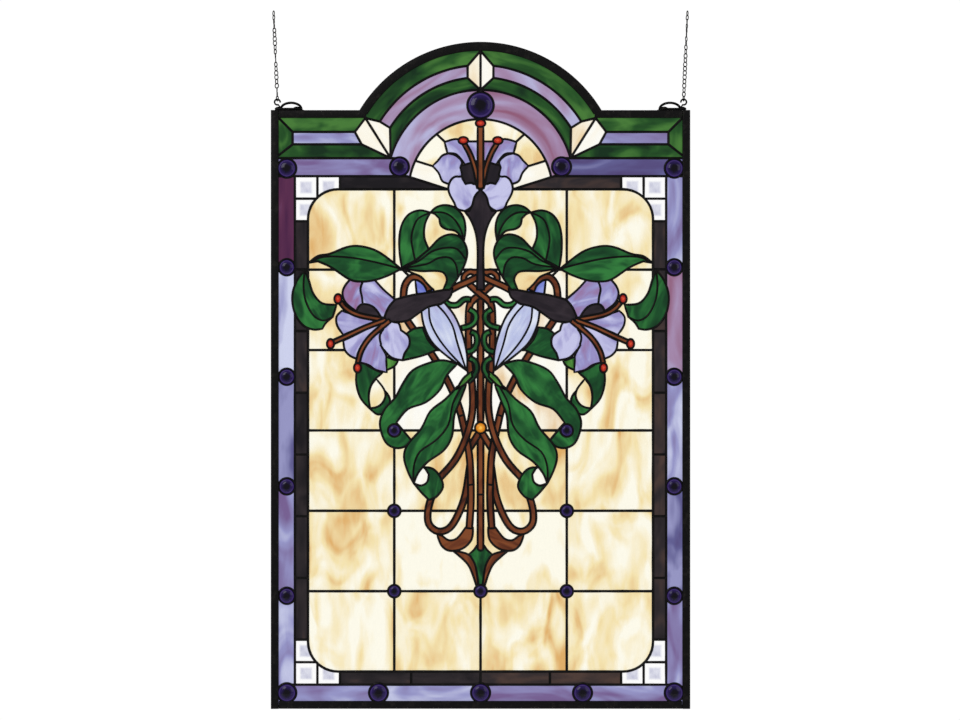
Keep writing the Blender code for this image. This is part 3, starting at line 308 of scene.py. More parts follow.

# Painted glow that the glass gives off of its own, in place of light shining through it, its refraction,
# and strength and depth of each surface's bumps
SHEET_GLOW = 0.62
CAST_GLOW = 0.6
CAST_ROUGHNESS = 0.08
GLASS_IOR = 1.5
SHEET_BUMPS = (0.35, 0.0006)
CAST_BUMPS = (0.2, 0.0008)
METAL_BUMPS = (0.3, 0.0005)
# How far from a bevelled tile's middle its patch starts to fade into the painted white highlight of the
# bevel, and where that highlight is full
PATCH_INNER = 0.0055
PATCH_OUTER = 0.0095

# Strips down the sides from the foot: left glass and shade, right glass and shade
SIDE_STRIPS = (("lavender", 0.10, "lavender", 0.25), ("lavender", 0.40, "iris", -0.15),
               ("iris", -0.20, "lavender", 0.05), ("lavender", -0.30, "mauve", 0.25),
               ("purple", 0.10, "lavender", 0.05))

# Violet jewels on the crossings of the field's grid, as columns from the middle and rows
GRID_JEWELS = ((-1, 1), (0, 1), (1, 1), (-1, 2), (1, 2), (-1, 3), (1, 3))
SIDE_TIPS = ((-190, 497), (-200, 437), (-164, 405))
TOP_TIPS = ((-23, 708), (0, 731), (23, 708))


def size_property(label, text, value):
    """A length that the user can change."""
    return bpy.props.FloatProperty(name=label, description=text, default=value, min=0.0,
                                   subtype="DISTANCE", unit="LENGTH", precision=5)


def colour_property(label, text, value):
    """A colour that the user can change."""
    return bpy.props.FloatVectorProperty(name=label, description=text, default=value, size=3,
                                         min=0.0, max=1.0, subtype="COLOR")


class WindowSizes(bpy.types.PropertyGroup):
    """Sizes of the glass, the seams, the frame and the wires."""
    glass_thickness: size_property("Glass thickness", "Thickness of the sheet glass", 0.003)
    tile_gap: size_property("Tile gap", "How far each piece of glass stays from a seam's middle", 0.0004)
    seam_width: size_property("Seam width", "Width of the border's soldered seams", 0.0043)
    grid_width: size_property("Grid width", "Width of the seams of the field's grid", 0.0046)
    figure_width: size_property("Figure width", "Width of the seams round the figures", 0.0039)
    rib_width: size_property("Rib width", "Width of the seams inside a leaf or a petal", 0.0035)
    seam_depth: size_property("Seam depth", "Depth of a seam's bead, through the glass", 0.0060)
    came_depth: size_property("Came depth", "Depth of the frame's came", 0.008)
    came_round: size_property("Came rounding", "Radius of the came's long edges", 0.0014)
    jewel_rise: size_property("Jewel rise", "Height of a jewel's dome over its seam", 0.0035)
    small_rise: size_property("Small jewel rise", "Height of a small jewel's dome", 0.0018)
    hook_wire: size_property("Hook wire", "Diameter of the hooks' wire", 0.0034)
    link_wire: size_property("Link wire", "Diameter of the chain links' wire", 0.0014)


def tone_properties(finishes, labels):
    """A colour for each tone of each finish in a table."""
    return {f"{finish}_{label}": colour_property(f"{finish} {label}", f"The {label} tone of {finish}",
                                                 values[i + 1])
            for finish, values in finishes.items() for i, label in enumerate(labels)}


class WindowColours(bpy.types.PropertyGroup):
    """Tones of each glass, each cast jewel and each metal."""
    __annotations__ = {**tone_properties(GLASSES, GLASS_TONES), **tone_properties(CASTS, CAST_TONES),
                       **tone_properties(METALS, METAL_TONES)}


# Lines and outlines in the plane of the panel

def place(u, v):
    """Turn a point of the cartoon, in millimetres, into a point of the panel."""
    return Vector((u * 2 * FIELD_SIDE / CARTOON_WIDTH,
                   FIELD_BOTTOM + v * (FIELD_TOP - FIELD_BOTTOM) / CARTOON_HEIGHT))


def stroke(*points):
    """A smooth line through points of the cartoon."""
    spots = [place(*p) for p in points]
    if len(spots) < 3:
        return spots
    line = []
    for i, start in enumerate(spots[:-1]):
        before, end = spots[max(i - 1, 0)], spots[i + 1]
        after = spots[min(i + 2, len(spots) - 1)]
        near, far = start + (end - before) / 6, end - (after - start) / 6
        for step in range(CURVE_STEPS):
            t = step / CURVE_STEPS
            s = 1 - t
            line.append(s ** 3 * start + 3 * s * s * t * near + 3 * s * t * t * far + t ** 3 * end)
    return line + [spots[-1]]


def figure(*sides):
    """Close a figure from smooth sides that each start at a corner."""
    loop = []
    for i, side in enumerate(sides):
        loop += stroke(*side, sides[(i + 1) % len(sides)][0])[:-1]
    return loop


def ribbon(width, *points):
    """The quads of a strip of even width along a line of the cartoon."""
    middle, half = stroke(*points), width * MM / 2
    sides = []
    for i, here in enumerate(middle):
        before, after = middle[max(i - 1, 0)], middle[min(i + 1, len(middle) - 1)]
        into, out = here - before, after - here
        into = into.normalized() if i else out.normalized()
        out = out.normalized() if i < len(middle) - 1 else into
        along = (into + out).normalized()
        across = Vector((-along.y, along.x)) * half / max(MITRE_LIMIT, along.dot(out))
        sides.append((here + across, here - across))
    quads = [[a[0], b[0], b[1], a[1]] for a, b in zip(sides, sides[1:])]
    return [quad if is_convex(quad) else plank(a, b, half)
            for quad, a, b in zip(quads, middle, middle[1:]) if (b - a).length > SHORTEST_PLANK]


def is_convex(polygon):
    """Whether a polygon turns the same way at every corner."""
    turns = [(b - a).cross(c - b) for a, b, c in zip(polygon, polygon[1:] + polygon[:1],
                                                     polygon[2:] + polygon[:2])]
    return max(turns) < 0 or min(turns) > 0


def plank(start, end, half):
    """A rectangle along a straight run."""
    along = (end - start).normalized()
    across = Vector((-along.y, along.x)) * half
    return [start + across, end + across, end - across, start - across]


def arc(centre, radius, start, end):
    """Points along an arc, from one angle to the other."""
    count = max(2, ceil(abs(end - start) * radius / ARC_CHORD))
    turns = [start + (end - start) * i / count for i in range(count + 1)]
    return [Vector((centre[0] + radius * cos(a), centre[1] + radius * sin(a))) for a in turns]


def disc(centre, radius, stretch=1.0):
    """The outline of a round or oval piece."""
    turns = [2 * pi * (i + 0.5) / RING_SIDES for i in range(RING_SIDES)]
    return [Vector(centre) + Vector((radius * cos(a), stretch * radius * sin(a))) for a in turns]


def box(left, bottom, right, top):
    """A rectangle."""
    return [Vector(p) for p in ((left, bottom), (right, bottom), (right, top), (left, top))]


def mirrored(points):
    """The same points on the other side of the centre line."""
    return [Vector((-p[0], p[1])) for p in points]


def half_disc(centre_height, radius):
    """The upper left quarter of a disc on the centre line."""
    return [Vector((0, centre_height))] + arc((0, centre_height), radius, pi / 2, pi)


def half_outline(grow):
    """Left half of the glass's outline, its edge moved outwards into the frame's groove."""
    side, shoulder, radius = GLASS_SIDE + grow, GLASS_SHOULDER + grow, GLASS_ARCH + grow
    start = asin((shoulder - ARCH_CENTRE) / radius)
    base = [(0, GLASS_BOTTOM - grow), (-side, GLASS_BOTTOM - grow), (-side, shoulder)]
    return [Vector(p) for p in base] + arc((0, ARCH_CENTRE), radius, pi - start, pi / 2)


def lengthened(line):
    """A line with its ends drawn out straight, so that it parts a figure right through."""
    start = line[0] + (line[0] - line[1]).normalized() * RIB_OVERRUN
    end = line[-1] + (line[-1] - line[-2]).normalized() * RIB_OVERRUN
    return [start, *line, end]


class Cartoon:
    """The drawing of the window: pieces of glass painted over one another."""

    def __init__(self):
        self.styles = []
        self.polygons = []
        self.ribs = []

    def paint(self, region, glass, *polygons, ribs=(), flow="along", shade=0.0):
        """Lay a piece of glass over what is already there, with seams that part it."""
        rank = len(self.styles)
        self.styles.append((region, glass, flow, shade))
        self.polygons += [(rank, polygon) for polygon in polygons]
        self.ribs += [({rank}, lengthened(rib)) for rib in ribs]

    def pair(self, region, glass, *polygons, ribs=(), flow="along", shade=0.0, shared=False,
             right_glass=None, right_shade=None):
        """Lay a piece of glass on the left, and its mirror image on the right."""
        left, right = (region, region) if shared else (region + "_left", region + "_right")
        self.paint(left, glass, *polygons, ribs=ribs, flow=flow, shade=shade)
        self.paint(right, right_glass or glass, *[mirrored(p) for p in polygons],
                   ribs=[mirrored(rib) for rib in ribs], flow=flow,
                   shade=shade if right_shade is None else right_shade)

    def whole(self, region, glass, *polygons, **style):
        """Lay one piece of glass made of a left half and its mirror image."""
        self.paint(region, glass, *polygons, *[mirrored(p) for p in polygons], **style)

    def score(self, region, line):
        """A seam, and its mirror image, that parts whatever glass of a region it crosses."""
        ranks = {i for i, style in enumerate(self.styles) if style[0].startswith(region)}
        self.ribs += [(ranks, line), (ranks, mirrored(line))]


def jewel_seats():
    """Name, centre and seam radius of each jewel of the border on the left or in the middle."""
    arch_jewel = (RING_BAND + FAN_RADIUS) / 2
    arch_height = DARK_TOP + CORNER_JEWEL_RADIUS
    arch_side = sqrt(arch_jewel ** 2 - (arch_height - ARCH_CENTRE) ** 2)
    bottom = GLASS_BOTTOM + LAVENDER_STRIP / 2
    top = ARCH_CENTRE + RING_BAND - TOP_JEWEL_GAP - TOP_JEWEL_RADIUS
    seats = [("jewel_top", (0, top), TOP_JEWEL_RADIUS),
             ("jewel_bottom", (0, bottom), CORNER_JEWEL_RADIUS),
             ("jewel_arch", (-arch_side, arch_height), CORNER_JEWEL_RADIUS),
             ("jewel_upper_corner", (-STRIP_MIDDLE, DARK_TOP + CORNER_JEWEL_LIFT), CORNER_JEWEL_RADIUS),
             ("jewel_lower_corner", (-STRIP_MIDDLE, bottom), CORNER_JEWEL_RADIUS),
             ("jewel_bottom_side", (-BOTTOM_JEWEL_PITCH, bottom), CORNER_JEWEL_RADIUS)]
    for i in range(SIDE_JEWELS):
        height = SIDE_JEWEL_FIRST + i * SIDE_JEWEL_PITCH
        seats.append((f"jewel_side_{i + 1}", (-STRIP_MIDDLE, height), SIDE_JEWEL_RADIUS))
    return seats


def all_seats():
    """The seats of the border's jewels on both sides."""
    seats = []
    for name, centre, radius in jewel_seats():
        if centre[0] == 0:
            seats.append((name, centre, radius))
        else:
            seats.append((name + "_left", centre, radius))
            seats.append((name + "_right", (-centre[0], centre[1]), radius))
    return seats


def small_seats():
    """Kind, centre, seam radius and stretch of the small jewels and the stamens' tips."""
    seats = [("violet_cast", (column * FIELD_SIDE / 2, FIELD_BOTTOM + row * GRID_ROW),
              GRID_JEWEL_RADIUS, 1.0) for column, row in GRID_JEWELS]
    amber = (0, FIELD_BOTTOM + AMBER_JEWEL_ROW * GRID_ROW + AMBER_JEWEL_LIFT)
    seats.append(("amber_cast", amber, AMBER_JEWEL_RADIUS, 1.0))
    for u, v in SIDE_TIPS:
        seats += [("red_cast", place(side * u, v), SIDE_TIP_RADIUS, SIDE_TIP_STRETCH)
                  for side in (1, -1)]
    seats += [("red_cast", place(u, v), TOP_TIP_RADIUS, TOP_TIP_STRETCH) for u, v in TOP_TIPS]
    return seats


# The drawing, from the frame inwards and from the back to the front

def draw_arch(cartoon):
    """The rings of the arch, the wide band, the fan and the top keystone."""
    cartoon.pair("arch", "green", half_outline(GLASS_BITE), flow="round")
    cartoon.pair("arch", "mauve", half_disc(ARCH_CENTRE, RING_LAVENDER), flow="round", shade=-0.15,
                 right_shade=-0.05)
    cartoon.pair("arch", "green", half_disc(ARCH_CENTRE, RING_GREEN), flow="round", shade=0.25)
    cartoon.pair("band", "mauve", half_disc(ARCH_CENTRE, RING_BAND), flow="round", shade=-0.02,
                 right_shade=0.12)
    fan_seam = stroke((-59, 717), (-45, 704))
    cartoon.pair("fan", "cream", half_disc(FAN_CENTRE, FAN_RADIUS), ribs=[fan_seam], flow="up",
                 shade=-0.05, shared=True)
    wedge = [place(-61, 673)] + arc((0, FAN_CENTRE), FAN_RADIUS, FAN_SEAM_ANGLE, pi)
    cartoon.pair("fan", "bone", wedge + [Vector((0, FAN_CENTRE))], flow="side", shade=-0.1,
                 shared=True)
    tip, foot = Vector((0, ARCH_CENTRE + GLASS_ARCH)), Vector((0, ARCH_CENTRE + RING_BAND))
    corners = [Vector((-KEYSTONE_HALF_WIDTH, ARCH_CENTRE + sqrt(ring ** 2 - KEYSTONE_HALF_WIDTH ** 2)))
               for ring in (RING_LAVENDER, RING_GREEN)]
    cartoon.pair("keystone_top", "bone", [tip, *corners, foot], shade=0.35, right_shade=-0.15,
                 shared=True)


def draw_shoulders(cartoon):
    """The shoulder's glass, its keystone, and the jewelled row under it."""
    tip_side = sqrt(GLASS_ARCH ** 2 - (GLASS_SHOULDER - ARCH_CENTRE) ** 2)
    foot_side = sqrt(RING_BAND ** 2 - (ROW_TOP - ARCH_CENTRE) ** 2)
    tip, foot = Vector((-tip_side, GLASS_SHOULDER)), Vector((-foot_side, ROW_TOP))
    rim_top = GLASS_SHOULDER + GLASS_BITE
    end = -GLASS_SIDE + SHOULDER_GREEN
    shoulder = [(-RIM, ROW_TOP), (-RIM, rim_top), (tip.x, rim_top), tip, foot]
    mitres = [[Vector((-RIM, rim_top)), Vector((end, LAVENDER_TOP))],
              [Vector((-RIM, ROW_TOP)), Vector((end, LAVENDER_FOOT))]]
    cartoon.pair("shoulder", "green", [Vector(p) for p in shoulder], ribs=mitres, shade=0.08)
    under = [Vector((-RIM, ROW_TOP)), foot, Vector((tip.x, LAVENDER_FOOT)),
             Vector((end, LAVENDER_FOOT))]
    cartoon.pair("shoulder", "green", under, flow="side", shade=0.30)
    cartoon.pair("shoulder", "lavender", box(end, LAVENDER_FOOT, tip.x, LAVENDER_TOP),
                 flow="side", shade=0.17, right_shade=0.18)
    left = [Vector((tip.x - SHOULDER_KEYSTONE_REACH, LAVENDER_TOP)),
            Vector((tip.x - SHOULDER_KEYSTONE_FOOT, LAVENDER_FOOT))]
    turn = Vector((cos(SHOULDER_KEYSTONE_ANGLE), sin(SHOULDER_KEYSTONE_ANGLE)))
    right = [Vector((0, ARCH_CENTRE)) + ring * turn for ring in (RING_GREEN, RING_LAVENDER)]
    cartoon.pair("keystone", "bone", [tip, *left, foot], shade=-0.1, right_shade=-0.2)
    cartoon.pair("keystone", "bone", [tip, foot, *right], shade=0.0, right_shade=0.3)
    arch_jewel = next(centre[0] for name, centre, _ in jewel_seats() if name == "jewel_arch")
    cartoon.pair("top_border", "lavender", box(-RIM, DARK_TOP, arch_jewel, ROW_TOP), flow="side",
                 shade=0.5, right_glass="iris", right_shade=0.2)


def draw_sides(cartoon):
    """The lavender strips down the sides and along the bottom, and the dark strips inside them."""
    rim = GLASS_BOTTOM - GLASS_BITE
    lavender = [(-RIM, rim), (0, rim), (0, DARK_BOTTOM), (-DARK_SIDE, DARK_BOTTOM),
                (-DARK_SIDE, DARK_TOP), (-RIM, DARK_TOP)]
    cuts = []
    for name, (x, height), _ in jewel_seats():
        if name.startswith("jewel_side"):
            cuts.append([Vector((-RIM, height)), Vector((-DARK_SIDE, height))])
        elif name in ("jewel_bottom_side", "jewel_lower_corner"):
            cuts.append([Vector((x, rim)), Vector((x, DARK_BOTTOM))])
    cartoon.pair("side_border", "lavender", [Vector(p) for p in lavender], ribs=cuts)
    low = rim
    for i, (left, left_shade, right, right_shade) in enumerate(SIDE_STRIPS):
        last = i == len(SIDE_STRIPS) - 1
        high = DARK_TOP if last else SIDE_JEWEL_FIRST + i * SIDE_JEWEL_PITCH
        cartoon.pair("side_border", left, box(-RIM, low, -DARK_SIDE, high), shade=left_shade,
                     right_glass=right, right_shade=right_shade)
        low = high
    start = -STRIP_MIDDLE
    for end, left_shade, right_shade in ((-BOTTOM_JEWEL_PITCH, 0.20, 0.30), (0, 0.1, 0.45)):
        cartoon.pair("side_border", "lavender", box(start, rim, end, DARK_BOTTOM), flow="side",
                     shade=left_shade, right_shade=right_shade)
        start = end
    dark = [(0, DARK_BOTTOM), (0, FIELD_TOP), (-WEDGE_INNER, FIELD_TOP), (-WEDGE_OUTER, DARK_TOP),
            (-DARK_SIDE, DARK_TOP), (-DARK_SIDE, DARK_BOTTOM)]
    corner = 2 * CORNER_TILE
    cuts = [[Vector((-BOTTOM_DARK_TILE, DARK_BOTTOM)), Vector((-BOTTOM_DARK_TILE, FIELD_BOTTOM))]]
    height = DARK_BOTTOM + corner + SIDE_DARK_TILE
    while height < DARK_TOP - corner:
        cuts.append([Vector((-DARK_SIDE, height)), Vector((-FIELD_SIDE, height))])
        height += SIDE_DARK_TILE
    cartoon.pair("dark_strips", "dark", [Vector(p) for p in dark], ribs=cuts, shared=True, shade=0.35,
                 right_shade=0.08)
    for low in (DARK_BOTTOM, DARK_TOP - corner):
        for column in range(2):
            for row in range(2):
                x, y = -DARK_SIDE + column * CORNER_TILE, low + row * CORNER_TILE
                cartoon.pair("dark_strips", "bevelled", box(x, y, x + CORNER_TILE, y + CORNER_TILE),
                             flow="centred", shared=True)


def draw_field(cartoon):
    """Cream panes of the field, with its round corners."""
    inner = -FIELD_SIDE + FIELD_CORNER
    low_corner = arc((inner, FIELD_BOTTOM + FIELD_CORNER), FIELD_CORNER, pi, 1.5 * pi)
    top_corner = arc((inner, FIELD_TOP - FIELD_CORNER), FIELD_CORNER, pi / 2, pi)
    for row in range(GRID_ROWS):
        part = "low" if row < GRID_ROWS // 3 else "middle" if row < GRID_ROWS - 1 else "top"
        low, high = FIELD_BOTTOM + row * GRID_ROW, FIELD_BOTTOM + (row + 1) * GRID_ROW
        outer = box(-FIELD_SIDE, low, -FIELD_SIDE / 2, high)
        if row == 0:
            outer = low_corner + outer[1:]
        if row == GRID_ROWS - 1:
            outer = outer[:3] + top_corner
        behind_stems = 2 < row < GRID_ROWS - 1
        cartoon.pair("field_" + part, "cream", outer, flow="up", shade=-0.05,
                     right_shade=0.20 if row == GRID_ROWS - 1 else -0.1)
        cartoon.pair("field_" + part, "ivory" if behind_stems else "cream",
                     box(-FIELD_SIDE / 2, low, 0, high), flow="up",
                     shade=0.02 if behind_stems else 0.18 if row in (0, 2) else -0.2)
    cartoon.score("field", stroke((-211, 457), (-202, 445)))
    cartoon.score("field", stroke((-105, 537), (-95, 527)))


def draw_stems(cartoon):
    """Brown stems that cross, loop and meet in a foot, with green tendrils round them."""
    def stem(*points, both=True, width=STEM_WIDTH, glass="stem"):
        lay = cartoon.pair if both else cartoon.paint
        lay("stems", glass, *ribbon(width, *points), **({"shared": True} if both else {}))

    cartoon.whole("stems", "leaf", figure([(0, 168)], [(-5, 168), (-9, 162)],
                                          [(-16, 156), (-10, 149), (-6, 138)], [(-3, 113)], [(0, 113)]),
                  shade=0.2)
    cartoon.pair("stems", "stem", figure([(-38, 162), (-27, 153), (-17, 143), (-11, 131)], [(-5, 113)],
                                         [(-3, 117), (-6, 138), (-11, 150), (-18, 157)]), shared=True,
                 shade=-0.1)
    cartoon.pair("stems", "stem", figure([(-10, 192), (-12, 176), (-24, 164), (-41, 161), (-52, 168)],
                                         [(-58, 183)], [(-51, 181), (-42, 175), (-31, 178)], [(-20, 192)]),
                 shared=True)
    stem((0, 503), (0, 333), both=False)
    cartoon.paint("stems", "stem", *ribbon(STEM_WIDTH, (0, 322), (0, 200), (0, 165)),
                  disc(place(0, 165), STEM_WIDTH * MM / 2))
    stem((-1, 320), (-15, 297))
    stem((-65, 234), (-70, 215), (-69, 197), (-57, 187), (-42, 191), (-30, 209), (-20, 237), (-14, 276))
    stem((-102, 475), (-90, 457), (-67, 426), (-49, 397), (-31, 359), (-22, 325), (-15, 289), (-13, 253),
         (-13, 222), (-15, 191))
    stem((16, 517), (0, 503), (-9, 496), (-15, 486), (-16, 455), (-15, 413), (-11, 381), (-11, 346),
         (-19, 313), (-34, 282), (-55, 258))
    for curl in (((-50, 495), (-41, 489), (-31, 489), (-22, 496), (-13, 496)),
                 ((-15, 483), (-7, 477), (-7, 468), (-14, 461), (-25, 458)),
                 ((-13, 453), (-6, 449), (-5, 438), (-10, 429), (-18, 426)),
                 ((-15, 418), (-7, 413), (-5, 403), (-10, 393), (-17, 386))):
        stem(*curl, width=TENDRIL_WIDTH, glass="leaf")
    stem((-22, 517), (-22, 527), (-15, 533), (-7, 531), (-1, 524), width=TENDRIL_WIDTH)
    cartoon.pair("stems", "blue", figure([(-87, 522)], [(-75, 522), (-62, 507)], [(-85, 503)]), shared=True)
    stem((-43, 507), (-30, 514), (-14, 521), (0, 528))
    for cut in (((-19, 248), (-7, 250)), ((-6, 236), (6, 236)), ((-75, 192), (-62, 190)),
                ((-30, 340), (-20, 343))):
        cartoon.score("stems", stroke(*cut))


def draw_buds(cartoon):
    """A closed bud with three petals, hanging from each side lily's calyx."""
    ribs = [stroke((-69, 487), (-67, 467), (-57, 446), (-41, 425), (-18, 401)),
            stroke((-58, 489), (-47, 477), (-37, 460), (-30, 435), (-19, 402))]
    cartoon.pair("bud", "bud", figure([(-79, 483), (-76, 463), (-66, 441), (-49, 424)],
                                      [(-18, 401), (-18, 422), (-24, 449), (-35, 475)],
                                      [(-51, 495)]), ribs=ribs)


def draw_lower_leaves(cartoon):
    """The leaves that hang below the side lilies, with their curled ends."""
    def leaf(*sides, glass="leaf", ribs=(), shade=0.0):
        cartoon.pair("lower_leaves", glass, figure(*sides), ribs=ribs, shade=shade)

    leaf([(-104, 415), (-101, 425), (-95, 437)], [(-98, 451), (-89, 457)], [(-77, 459), (-70, 442)],
         [(-58, 429), (-78, 421)], shade=0.2)
    leaf([(-162, 418), (-149, 407)], [(-131, 398), (-143, 387), (-149, 371)],
         [(-147, 350), (-160, 365), (-166, 389)], shade=0.1)
    leaf([(-139, 390), (-129, 377), (-127, 366), (-134, 355)], [(-147, 350), (-149, 366), (-146, 381)],
         glass="cream", shade=0.1)
    leaf([(-128, 376), (-121, 364), (-122, 353), (-129, 345), (-138, 343)],
         [(-148, 351), (-134, 354), (-127, 366)])
    leaf([(-31, 410), (-49, 415), (-67, 412), (-90, 402), (-103, 385), (-114, 365), (-127, 351),
          (-134, 334), (-132, 318), (-125, 304), (-113, 298), (-101, 300)],
         [(-92, 308)],
         [(-112, 332), (-97, 350), (-73, 359), (-54, 376), (-45, 395)],
         ribs=[stroke((-31, 410), (-51, 405), (-67, 388), (-93, 373), (-113, 351),
                      (-119, 336), (-116, 322))])
    leaf([(-77, 273), (-69, 266), (-70, 254), (-79, 249)], [(-88, 252)], glass="bone", shade=-0.1)
    leaf([(-75, 273), (-63, 270), (-54, 260), (-50, 246), (-59, 233)], [(-69, 229), (-79, 239)],
         [(-89, 251), (-79, 248), (-71, 253)], [(-69, 263)])
    leaf([(-31, 380), (-47, 363), (-67, 347), (-79, 324), (-97, 303), (-102, 286), (-97, 267)],
         [(-89, 251), (-83, 265), (-70, 280), (-49, 295), (-38, 314), (-35, 341), (-27, 362)],
         [(-19, 382)],
         ribs=[stroke((-26, 379), (-37, 357), (-43, 329), (-59, 309), (-81, 293), (-89, 273),
                      (-89, 251))])
    leaf([(-32, 376), (-23, 391)], [(-12, 400)], [(-11, 393), (-21, 383)], glass="bright")


def draw_side_lilies(cartoon):
    """Open lilies to the left and the right: petals, throat, calyx and stamens."""
    cartoon.pair("stems", "stem", *ribbon(STEM_WIDTH, (-103, 497), (-101, 514), (-93, 525), (-82, 525),
                                          (-72, 517), (-68, 508)), shared=True)
    cartoon.pair("upper_leaves", "cream", figure([(-104, 537), (-90, 531), (-79, 526), (-71, 517),
                                                  (-62, 509)],
                                                 [(-52, 509), (-45, 518), (-47, 529), (-57, 535),
                                                  (-81, 536)]), shade=0.35)
    for glass, shade, sides in (
            ("petal", 0.35, ([(-171, 526), (-181, 514), (-184, 503), (-179, 491)],
                             [(-165, 480), (-163, 486)],
                             [(-158, 493), (-159, 506), (-158, 515)], [(-153, 525)])),
            ("petal", 0.12, ([(-155, 525), (-160, 511), (-158, 499)],
                             [(-157, 489), (-145, 488), (-137, 480)],
                             [(-130, 468), (-123, 485)], [(-114, 496), (-129, 509)], [(-141, 522)])),
            ("throat", 0.0, ([(-166, 479), (-163, 486), (-157, 490), (-146, 488), (-138, 481)],
                             [(-130, 468)])),
            ("petal", 0.05, ([(-185, 481), (-192, 473), (-191, 461)], [(-183, 449)], [(-134, 469)],
                             [(-163, 474)])),
            ("petal", -0.08, ([(-183, 441), (-181, 429), (-174, 421)], [(-165, 417)], [(-131, 467)])),
            ("petal", 0.25, ([(-165, 413), (-158, 430), (-147, 446)], [(-129, 462)],
                             [(-133, 435), (-125, 419)],
                             [(-125, 399), (-139, 402), (-150, 409)])),
            ("petal", -0.30, ([(-123, 464), (-110, 465)],
                              [(-106, 455), (-96, 447), (-95, 435), (-102, 423)],
                              [(-104, 415), (-119, 419), (-131, 433), (-134, 449)])),
            ("throat", -0.05, ([(-126, 468), (-123, 483)], [(-114, 496), (-91, 502), (-65, 506)],
                               [(-37, 511), (-41, 499)],
                               [(-53, 490), (-70, 486), (-85, 476), (-97, 468), (-113, 466)]))):
        cartoon.pair("side_lily", glass, figure(*sides), shade=shade)
    cartoon.pair("lower_leaves", "bright", figure([(-126, 420), (-119, 417)], [(-110, 414), (-115, 407)],
                                                  [(-125, 402)]), shade=0.1)
    for points in (((-187, 493), (-178, 483), (-161, 475), (-129, 469)),
                   ((-197, 439), (-179, 447), (-153, 459), (-126, 469)),
                   ((-164, 410), (-159, 428), (-146, 447), (-121, 468))):
        cartoon.pair("side_lily", "stem", *ribbon(STAMEN_WIDTH, *points), shade=-0.1)


def draw_upper_leaves(cartoon):
    """The long side leaf, the crescent over the border, and the three leaves round an eye."""
    def leaf(*sides, ribs=(), shade=0.0):
        cartoon.pair("upper_leaves", "leaf", figure(*sides), ribs=ribs, shade=shade + 0.12)

    leaf([(-67, 612), (-81, 615), (-95, 610), (-104, 598), (-108, 581), (-108, 559)], [(-105, 539)],
         [(-87, 548)], [(-69, 563), (-75, 579), (-74, 597)],
         ribs=[stroke((-67, 612), (-83, 604), (-90, 590), (-92, 573), (-87, 548))])
    leaf([(-106, 538), (-87, 548), (-69, 563), (-54, 578), (-38, 583), (-25, 577), (-18, 562), (-20, 546),
          (-29, 527)],
         [(-41, 509)],
         [(-50, 509), (-45, 521), (-47, 530), (-57, 534), (-81, 534)], shade=0.12,
         ribs=[stroke((-106, 538), (-83, 547), (-65, 560), (-46, 565), (-31, 563), (-20, 550)),
               stroke((-106, 538), (-73, 543), (-57, 551), (-42, 552), (-33, 543), (-30, 527))])
    leaf([(-67, 612), (-59, 619), (-47, 622), (-33, 618), (-23, 606), (-20, 590)],
         [(-22, 575), (-33, 587), (-46, 590), (-53, 595)], [(-55, 604), (-61, 610)], shade=-0.05,
         ribs=[stroke((-67, 612), (-50, 612), (-37, 605), (-27, 591), (-22, 575))])
    leaf([(-229, 545), (-217, 554), (-201, 557), (-178, 566), (-159, 567), (-135, 559)],
         [(-106, 537), (-121, 529), (-141, 522), (-159, 520), (-175, 523), (-199, 539)], [(-217, 547)],
         shade=-0.1,
         ribs=[stroke((-229, 545), (-209, 553), (-174, 552), (-141, 546), (-106, 537))])
    leaf([(-234, 536), (-245, 521), (-251, 501), (-248, 479), (-237, 462), (-223, 456)],
         [(-211, 457), (-206, 465)], [(-197, 473)], [(-192, 489), (-211, 491), (-223, 504), (-229, 522)],
         ribs=[stroke((-234, 536), (-236, 515), (-233, 494), (-223, 475), (-210, 468), (-197, 473))])


def draw_top_lily(cartoon):
    """The lily in the fan: petals in pairs, the throat, the calyx and three stamens."""
    cartoon.pair("top_lily", "petal", figure([(0, 707), (-17, 707), (-33, 710)], [(-48, 706)],
                                             [(-44, 691), (-33, 690), (-25, 682)],
                                             [(-21, 676), (-9, 678)], [(0, 648)]),
                 shared=True, shade=-0.15, right_shade=0.4)
    cartoon.whole("top_lily", "throat", figure([(0, 682), (-21, 676)], [(-28, 674)], [(-25, 661)],
                                               [(-23, 654), (-20, 650)], [(-7, 650)], [(0, 642)]),
                  shade=0.4)
    cartoon.pair("top_lily", "petal", figure([(-64, 674), (-57, 681), (-51, 688)],
                                             [(-43, 691), (-33, 688), (-25, 680)],
                                             [(-27, 672), (-25, 661)], [(-34, 660), (-39, 656)],
                                             [(-42, 650), (-51, 654), (-56, 665)]),
                 shared=True, flow="up", shade=0.05)
    cartoon.whole("top_lily", "throat", figure([(0, 644), (-8, 633), (-12, 621)], [(-15, 614)],
                                               [(-22, 614), (-14, 604), (-7, 587), (-4, 567), (-4, 538)],
                                               [(-5, 509)], [(0, 509)]), flow="up")
    cartoon.pair("top_lily", "petal", figure([(-42, 650), (-39, 656), (-33, 660), (-25, 658)],
                                             [(-20, 650), (-11, 651)],
                                             [(-1, 642), (-8, 633), (-12, 620)], [(-21, 614), (-31, 617)],
                                             [(-35, 625), (-41, 636), (-43, 644)]), shared=True, shade=-0.2)
    cartoon.pair("top_lily", "stem", *ribbon(STAMEN_WIDTH, (-22, 704), (-14, 690), (-7, 670), (-2, 645)),
                 shared=True)
    cartoon.paint("top_lily", "stem", *ribbon(STEM_WIDTH, (0, 727), (0, 645)))


def draw_jewels(cartoon):
    """Empty seats for the jewels, so that a seam runs round each."""
    for _, centre, radius in all_seats():
        cartoon.paint("jewel", None, disc(centre, radius))
    for _, centre, radius, stretch in small_seats():
        cartoon.paint("jewel", None, disc(centre, radius, stretch))


# From the drawing to tiles and seams

